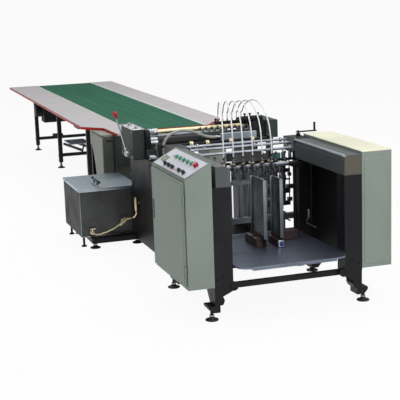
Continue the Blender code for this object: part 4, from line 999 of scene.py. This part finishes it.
wheel_rim = lathe(
    "rim", (0, 0, -0.017), (0, 0, 1),
    [(0.0215, 0.0), (0.024, 0.002), (0.024, 0.012), (0.023, 0.014), (0.023, 0.02), (0.024, 0.022),
     (0.024, 0.032), (0.0215, 0.034)], 28,
)
FEED_Y, FEED_Z = 1.62, 1.05
places = [((x, FEED_Y, FEED_Z), (1, 0, 0)) for x in (-0.209, -0.064, 0.15, 0.35)]
dress(copies("feed_wheel_rims", wheel_rim, places), brass, "feed_shaft")

# Side plates of the gluing unit: bearing flanges with three bolts each, frame bolts along the edges, and
# the slide block that sets the rubber roller.
flange = joined(
    "flange",
    lathe(
        "flange_disc", (0, 0, 0), (0, 0, 1),
        [(0.025, 0.0), (0.025, 0.006), (0.017, 0.01), (0.015, 0.014)], 28,
    ),
    *[
        lathe("flange_bolt", (0.0195 * math.cos(turn), 0.0195 * math.sin(turn), 0.005), (0, 0, 1),
              [(0.004, 0.0), (0.004, 0.004), (0.003, 0.005)], 6, 0.0003)
        for turn in (math.radians(90), math.radians(210), math.radians(330))
    ],
)
PLATE_LEFT, PLATE_RIGHT = -0.515, 0.53
places = [
    ((PLATE_LEFT - 0.0002, FEED_Y, FEED_Z), (-1, 0, 0)), ((PLATE_RIGHT + 0.0002, FEED_Y, FEED_Z), (1, 0, 0))
]
dress(copies("feed_bearings", flange, places), oiled_steel)
places = []
for y, z in ((1.52, 0.15), (1.52, 0.5), (1.52, 0.845), (1.76, 0.845), (1.9, 0.845), (2.48, 0.15), (2.48, 0.6)):
    places += [((PLATE_LEFT, y, z), (-1, 0, 0)), ((PLATE_RIGHT, y, z), (1, 0, 0))]
dress(copies("plate_bolts", hex_bolt(0.011), places), oiled_steel)
pressed(
    "slide_seat", (-0.517, 1.93, 0.91), (-0.38, 1.956, 0.984),
    (0, -1, 0), -0.003, 0.01, slate_paint, edge=0.003,
)
pressed(
    "slide_carrier", (-0.5, 1.938, 0.986), (-0.474, 1.956, 1.074),
    (0, -1, 0), 0.004, 0.005, black_paint, edge=0.003, scale=0.9,
)
roll = joined(
    "wash_roller_end",
    bar("roller_end", (-0.503, 1.93, 0.905), (-0.4, 1.93, 0.905), 0.033, 0.004, 32),
    bar("roller_neck", (-0.401, 1.93, 0.905), (-0.36, 1.93, 0.905), 0.024, 0.003, 32),
)
dress(roll, rod_steel)
wheel = lathe(
    "slide_handwheel", (-0.43, 1.93, 0.948), (0, -1, 0),
    [
        (0.012, 0.0), (0.012, 0.01), (0.022, 0.012), (0.024, 0.016), (0.024, 0.026), (0.02, 0.03),
        (0.009, 0.031),
    ],
    28,
)
dress(wheel, rubber)

# Gear housings: cast boxes under machined lids, held by lid screws, with oil caps on the left one. The
# glue lever is clamped on its shaft there, and carries a moulded red ball.
LEFT_LID_TOP, RIGHT_LID_TOP = 1.16, 1.149
for name, left, right, low, top, finish in (
    ("left_housing_lid", -0.6265, -0.5145, 1.154, LEFT_LID_TOP, bright_lid),
    ("right_housing_lid", 0.635, 0.751, 1.144, RIGHT_LID_TOP, slate_paint),
):
    pressed(name, (left, 1.999, low), (right, 2.401, top), (0, 0, 1), -0.0006, 0.012, finish, edge=0.0018)
pressed(
    "left_housing_face", (-0.617, 1.997, 0.895), (-0.524, 2.001, 1.145),
    (0, -1, 0), -0.0008, 0.01, slate_paint, edge=0.0012,
)
places = []
for x, top in ((-0.612, LEFT_LID_TOP), (-0.528, LEFT_LID_TOP), (0.65, RIGHT_LID_TOP), (0.736, RIGHT_LID_TOP)):
    places += [((x, y, top), (0, 0, 1)) for y in (2.02, 2.2, 2.38)]
places += [((-0.6258, y, z), (-1, 0, 0)) for y in (2.03, 2.37) for z in (0.91, 1.13)]
dress(copies("housing_screws", hex_bolt(0.008), places), zinc)
cap = lathe(
    "oil_cap", (0, 0, 0), (0, 0, 1),
    [(0.01, 0.0), (0.01, 0.006), (0.017, 0.007), (0.0175, 0.018), (0.014, 0.021)], 20,
)
dress(copies("oil_caps", cap, [((-0.57, y, LEFT_LID_TOP), (0, 0, 1)) for y in (2.08, 2.32)]), chrome)
LEVER_HUB, LEVER_TIP = Vector((-0.6259, 2.1, 0.935)), Vector((-0.7499, 2.1, 1.295))
clamp = joined(
    "lever_clamp",
    block("clamp_cheek", (LEVER_HUB.x - 0.046, 2.072, 0.912), (LEVER_HUB.x - 0.014, 2.128, 0.96), 0.004),
    bar(
        "clamp_bolt", (LEVER_HUB.x - 0.03, 2.06, 0.925), (LEVER_HUB.x - 0.03, 2.142, 0.925), 0.0055,
        0.0008, 14,
    ),
    bar(
        "clamp_neck", LEVER_HUB + Vector((-0.03, 0, 0.01)), LEVER_HUB + Vector((-0.048, 0, 0.062)),
        0.0125, 0.002, 20, 0.0095,
    ),
)
dress(clamp, chrome, "glue_lever")
bpy.ops.object.select_all(action="DESELECT")
bpy.ops.mesh.primitive_uv_sphere_add(segments=28, ring_count=18, radius=0.0248, location=LINE + LEVER_TIP)
ball = bpy.context.active_object
neck = bar(
    "ball_neck", LEVER_TIP.lerp(LEVER_HUB, 0.12), LEVER_TIP.lerp(LEVER_HUB, 0.03), 0.0105, 0.002, 20, 0.013
)
dress(joined("lever_ball", ball, neck), red_plastic, "glue_lever")

# Suction valve on the right of the rollers: a black block with its rocker, hoses pushed on below and the
# adjusting screws above, and the blades' thumb screws along the stripper bar.
valve = block("suction_valve", (0.43, 2.04, 1.148), (0.62, 2.13, 1.186), 0.004)
draw_out(valve, (0, 0, 1), (0, 0, 0.006), 0.96, 0.014)
dress(valve, black_paint)
screw_top = lathe(
    "adjuster", (0, 0, 0), (0, 0, 1),
    [(0.006, 0.0), (0.006, 0.014), (0.011, 0.015), (0.012, 0.018), (0.012, 0.027), (0.009, 0.03)], 16,
)
places = [((x, 2.085, 1.19), (0, 0, 1)) for x in (0.46, 0.51, 0.59)]
places += [((x, 2.185, 1.149), (0, 0, 1)) for x in (0.2125, 0.48)]
dress(copies("valve_adjusters", screw_top, places), rubber)
thumb = lathe(
    "thumb", (0, 0, 0), (0, 0, 1),
    [(0.004, 0.0), (0.004, 0.012), (0.008, 0.013), (0.008, 0.021), (0.006, 0.023)], 12, 0.0004,
)
finger_x = [0.02 + order * 0.055 for order in range(9)]
places = [((x, 1.966, 1.096), (0, -0.5, 1)) for x in finger_x]
dress(copies("finger_thumb_screws", thumb, places), oiled_steel)
ring = lathe(
    "ring", (0, 0, -0.005), (0, 0, 1), [(0.009, 0.0), (0.0115, 0.001), (0.0115, 0.009), (0.009, 0.01)],
    20,
)
dress(copies("finger_rings", ring, [((x, 1.97, 1.09), (1, 0, 0)) for x in finger_x]), oiled_steel)
pipe_clip = lathe(
    "clip", (0, 0, 0), (0, 0, 1), [(0.0145, 0.0), (0.0158, 0.001), (0.0158, 0.009), (0.0145, 0.01)], 24, 0.0004
)
places = [((-0.386, 1.89, 0.934), (0, 0, 1)), ((0.11, 1.89, 1.055), (1, 0, 0))]
dress(copies("glue_hose_clips", pipe_clip, places), chrome)
elbow = lathe(
    "hose_elbow_nut", (-0.386, 1.89, 0.9295), (0, 0, -1),
    [(0.02, 0.0), (0.02, 0.01), (0.0175, 0.012), (0.0175, 0.02)], 6,
)
dress(elbow, brass)

# Glue tank: folded and welded stainless sheet. The lid has a rim and a bar handle with black grips, and
# the outlets have hexagon unions, one with a lever cock.
TANK_LEFT, TANK_RIGHT, TANK_FRONT, TANK_REAR, TANK_LOW, TANK_TOP = -1.01, -0.45, 2.56, 3.28, 0.1053, 0.5553
skirt = []
for low, high in (
    (
        (TANK_LEFT - 0.0085, TANK_FRONT - 0.0085, TANK_TOP - 0.022),
        (TANK_RIGHT, TANK_FRONT - 0.006, TANK_TOP + 0.0046),
    ),
    (
        (TANK_LEFT - 0.0085, TANK_FRONT - 0.0085, TANK_TOP - 0.022),
        (TANK_LEFT - 0.006, TANK_REAR + 0.0085, TANK_TOP + 0.0046),
    ),
    (
        (TANK_LEFT - 0.0085, TANK_REAR + 0.006, TANK_TOP - 0.022),
        (TANK_RIGHT, TANK_REAR + 0.0085, TANK_TOP + 0.0046),
    ),
):
    skirt.append(block("skirt", low, high, 0.0007))
dress(joined("lid_rim", *skirt), lid_steel)
HANDLE_X, HANDLE_Z, POST_Y = -0.81, 0.6053, (2.68, 2.81)
grips = []
for start, end in ((2.59, 2.65), (2.83, 2.89)):
    grips.append(bar("grip", (HANDLE_X, start, HANDLE_Z), (HANDLE_X, end, HANDLE_Z), 0.0125, 0.003, 20))
dress(joined("handle_grips", *grips), rubber)
sleeves = [bar("sleeve", (HANDLE_X, 2.65, HANDLE_Z), (HANDLE_X, 2.83, HANDLE_Z), 0.01, 0.001, 20)]
for y in POST_Y:
    sleeves.append(bar("sleeve", (HANDLE_X, y, 0.568), (HANDLE_X, y, HANDLE_Z), 0.0082, 0.001, 20))
dress(joined("handle_sleeves", *sleeves), oiled_steel)
foot = lathe(
    "post_foot", (0, 0, 0), (0, 0, 1), [(0.015, 0.0), (0.015, 0.003), (0.0095, 0.006), (0.0085, 0.009)],
    20,
)
dress(copies("handle_feet", foot, [((HANDLE_X, y, 0.5596), (0, 0, 1)) for y in POST_Y]), chrome)
seams = []
for y in (TANK_FRONT, TANK_REAR):
    for x in (TANK_LEFT, TANK_RIGHT):
        seams.append(bar("weld", (x, y, TANK_LOW + 0.002), (x, y, TANK_TOP - 0.024), 0.0028, 0.0006, 10))
for start, end in (
    ((TANK_LEFT, TANK_FRONT, TANK_LOW + 0.003), (TANK_RIGHT, TANK_FRONT, TANK_LOW + 0.003)),
    ((TANK_LEFT, TANK_FRONT, TANK_LOW + 0.003), (TANK_LEFT, TANK_REAR, TANK_LOW + 0.003)),
):
    seams.append(bar("weld", start, end, 0.0028, 0.0006, 10))
dress(joined("tank_welds", *seams), zinc)
union = lathe(
    "union", (0, 0, 0), (0, 0, 1),
    [(0.023, 0.0), (0.023, 0.004), (0.0165, 0.005), (0.0165, 0.014), (0.0135, 0.016)], 6, 0.0006,
)
places = [
    ((-0.91, 2.56, 0.1503), (0, -1, 0)), ((-0.61, 2.56, 0.23), (0, -1, 0)),
    ((-0.91, 2.524, 0.1503), (0, -1, 0)),
]
dress(copies("tank_unions", union, places), brass)
cock = joined(
    "tank_cock",
    bar("cock_body", (-0.61, 2.548, 0.23), (-0.61, 2.49, 0.23), 0.011, 0.0015, 18),
    bar("cock_stem", (-0.61, 2.515, 0.23), (-0.61, 2.515, 0.262), 0.0055, 0.0008, 12),
    block("cock_lever", (-0.615, 2.51, 0.26), (-0.55, 2.52, 0.265), 0.0015),
    bar("cock_outlet", (-0.61, 2.495, 0.23), (-0.66, 2.495, 0.2), 0.008, 0.0012, 16),
)
dress(cock, brass)
leg = joined(
    "tank_leg", bar("leg_stem", (0, 0, 0.004), (0, 0, 0.105), 0.011, 0.001, 16),
    lathe(
        "leg_pad", (0, 0, 0.0), (0, 0, 1),
        [(0.026, 0.001), (0.027, 0.004), (0.025, 0.01), (0.013, 0.016)], 20,
    ),
)
dress(copies("tank_legs", leg, [((-0.975, y, 0), (0, 0, 1)) for y in (2.64, 3.2)]), black_paint)
nut = lathe("pipe_nut", (0, 0, 0), (0, 0, 1), [(0.0125, 0.0), (0.0125, 0.012), (0.0105, 0.014)], 6, 0.0006)
places = [
    ((-0.91, 2.4995, 0.1503), (0, -1, 0)), ((-0.545, 2.3, 0.366), (0, 0, 1)),
    ((-0.545, 2.3, 0.48), (0, 0, 1)),
]
dress(copies("glue_pipe_nuts", nut, places), brass)

# Head of the belt table: an angle-iron leg of black enamelled steel that stands on the floor, below the
# left board.
BED_LEFT, BED_RIGHT, TABLE_NEAR, TABLE_FAR = -0.25, 0.58, 3.5, 8.86
leg = block("head_leg", (-0.542, 4.03, 0.006), (-0.5, 4.072, 0.912), 0.002)
draw_out(leg, (0, -1, 0), (0, 0.006, 0), 1.0, 0.006)
dress(leg, black_paint)

# Under the bed: a level tray of enamelled sheet, painted very pale as painted light where it lies in shade,
# with two round stays of black steel below it. The photo doesn't show how they are fixed, so their ends are
# free and no bracket is drawn.
# Pale paint of the tray: painted light, far paler than the sheet, to make up for the shade under the bed.
tray_paint_painted_light = steel_sheet_paint("tray_enamel_painted_light", (0.68, 0.74, 0.84), (0.48, 0.5, 0.54))
pressed(
    "table_tray", (-0.24, 6.69, 0.36), (0.02, 7.085, 0.372), (0, 0, 1), -0.008, 0.004, tray_paint_painted_light
)
stays = []
for x in (-0.235, -0.065):
    stays.append(bar("stay", (x, 7.11, 0.316), (x, 5.98, 0.388), 0.017, 0.002, 12))
    stays.append(bar("stay", (x, 5.98, 0.388), (x, 5.86, 0.47), 0.011, 0.001, 12))
dress(joined("tray_stays", *stays), black_paint)

# Side strips: two flats of enamelled steel that lie along the bed's edges, between the belt and the boards, in
# a pale
# paint that is a painted reflection: it stands in for the bright look of the bed's metal top.
# Pale paint of the strips: a painted reflection, standing in for the light that the bed's metal top reflects.
strip_paint_painted_reflection = steel_sheet_paint("strip_enamel_painted_reflection", (0.56, 0.6, 0.59), (0.45, 0.46, 0.45))
strips = [
    block("strip", (low, TABLE_NEAR + 0.02, 0.9366), (high, TABLE_FAR - 0.015, 0.9402), 0.0008)
    for low, high in ((-0.249, -0.233), (0.533, 0.579))
]
dress(joined("belt_side_strips", *strips), strip_paint_painted_reflection)

# Belt drive: a folded case with its motor can below the far end of the bed, and the trough of the
# take-up below its middle. Both are black enamelled sheet.
case = block("belt_drive_case", (-0.25, 8.42, 0.445), (0.33, 8.64, 0.67), 0.012)
draw_out(case, (0, -1, 0), (0, 0.004, 0), 1.0, 0.02)
draw_out(case, (-1, 0, 0), (0.003, 0, 0), 1.0, 0.02)
can = bar("drive_can", (-0.33, 8.66, 0.6), (0.15, 8.66, 0.6), 0.09, 0.012, 32)
dress(joined("belt_drive_case", case, can), black_paint)
pressed(
    "belt_take_up", (-0.248, 6.18, 0.62), (0.578, 6.405, 0.782),
    (-1, 0, 0), -0.003, 0.014, black_paint, edge=0.03,
)

# Head rail and gearmotor: a flat rail on its own thin leg stands before the head cover, and a small
# gearmotor with its terminal box sits on the crossbar of the last legs.
rail = joined(
    "head_rail", block("rail", (-0.556, 3.31, 0.885), (-0.548, 3.95, 0.906), 0.0015),
    block("rail_link", (-0.556, 3.3, 0.87), (-0.48, 3.32, 0.89), 0.0015),
    block("rail_leg", (-0.492, 3.302, 0.006), (-0.476, 3.318, 0.88), 0.0015),
)
dress(rail, black_paint)
motor = joined(
    "gearmotor",
    block("gear_case", (-0.064, 8.76, 0.16), (0.012, 8.85, 0.225), 0.006),
    bar("motor_can", (0.01, 8.805, 0.192), (0.065, 8.805, 0.192), 0.03, 0.004, 32),
    bar("fan_cowl", (0.063, 8.805, 0.192), (0.085, 8.805, 0.192), 0.032, 0.006, 32),
    block("terminal_box", (0.02, 8.782, 0.218), (0.055, 8.828, 0.236), 0.003),
)
dress(motor, slate_paint)

# End rollers of the belt: bearings at the far end of the bed, with a tension screw and its nut on each
# side, all of plated steel.
bearing = joined(
    "bearing", block("bearing_block", (-0.03, -0.022, 0.0), (0.03, 0.022, 0.014), 0.003),
    lathe("bearing_cap", (0, 0, 0.013), (0, 0, 1), [(0.018, 0.0), (0.018, 0.006), (0.012, 0.008)], 24),
)
places = [
    ((x, 8.805, 0.8953), (side, 0, 0)) for side, x in ((-1, BED_LEFT - 0.0004), (1, BED_RIGHT + 0.0004))
]
dress(copies("end_bearings", bearing, places), zinc)
screws = []
for x in (BED_LEFT - 0.012, BED_RIGHT + 0.012):
    screws.append(bar("tension_screw", (x, 8.7, 0.87), (x, 8.845, 0.87), 0.005, 0.0006, 12))
    screws.append(
        lathe("tension_nut", (x, 8.73, 0.87), (0, 1, 0), [(0.01, 0.0), (0.01, 0.009), (0.0085, 0.01)], 6)
    )
dress(joined("tension_screws", *screws), zinc)

# Fixings of the table: hexagon bolts through the legs and along the front edges of the head covers. The
# left cover and the clutch box each have a plate with a pressed field in front; the left cover's plate is in a
# dark copy of the covers' enamel, painted shade on the cover's front.
places = []
for y in LEG_Y:
    for x, side in ((-0.3152, -1), (0.6452, 1)):
        places += [((x, y, z), (side, 0, 0)) for z in (0.17, 0.86)]
dress(copies("leg_bolts", hex_bolt(0.0095), places), zinc)
places = [
    ((x, 3.4996, z), (0, -1, 0)) for x in (-0.53, -0.275, 0.6, 0.75) for z in (0.1, 0.5, 0.88)
]
dress(copies("head_cover_screws", hex_bolt(0.006), places), zinc)
for name, low, high, finish in (
    ("head_cover_face", (-0.546, 3.4975, 0.04), (-0.262, 3.501, 0.896), shaded_sage),
    ("clutch_box_face", (-0.433, 3.3475, 0.61), (-0.327, 3.351, 0.904), slate_paint),
):
    pressed(name, low, high, (0, -1, 0), -0.0008, 0.008, finish)

# Bounds of the dressed machine, the floor left out
low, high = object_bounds()
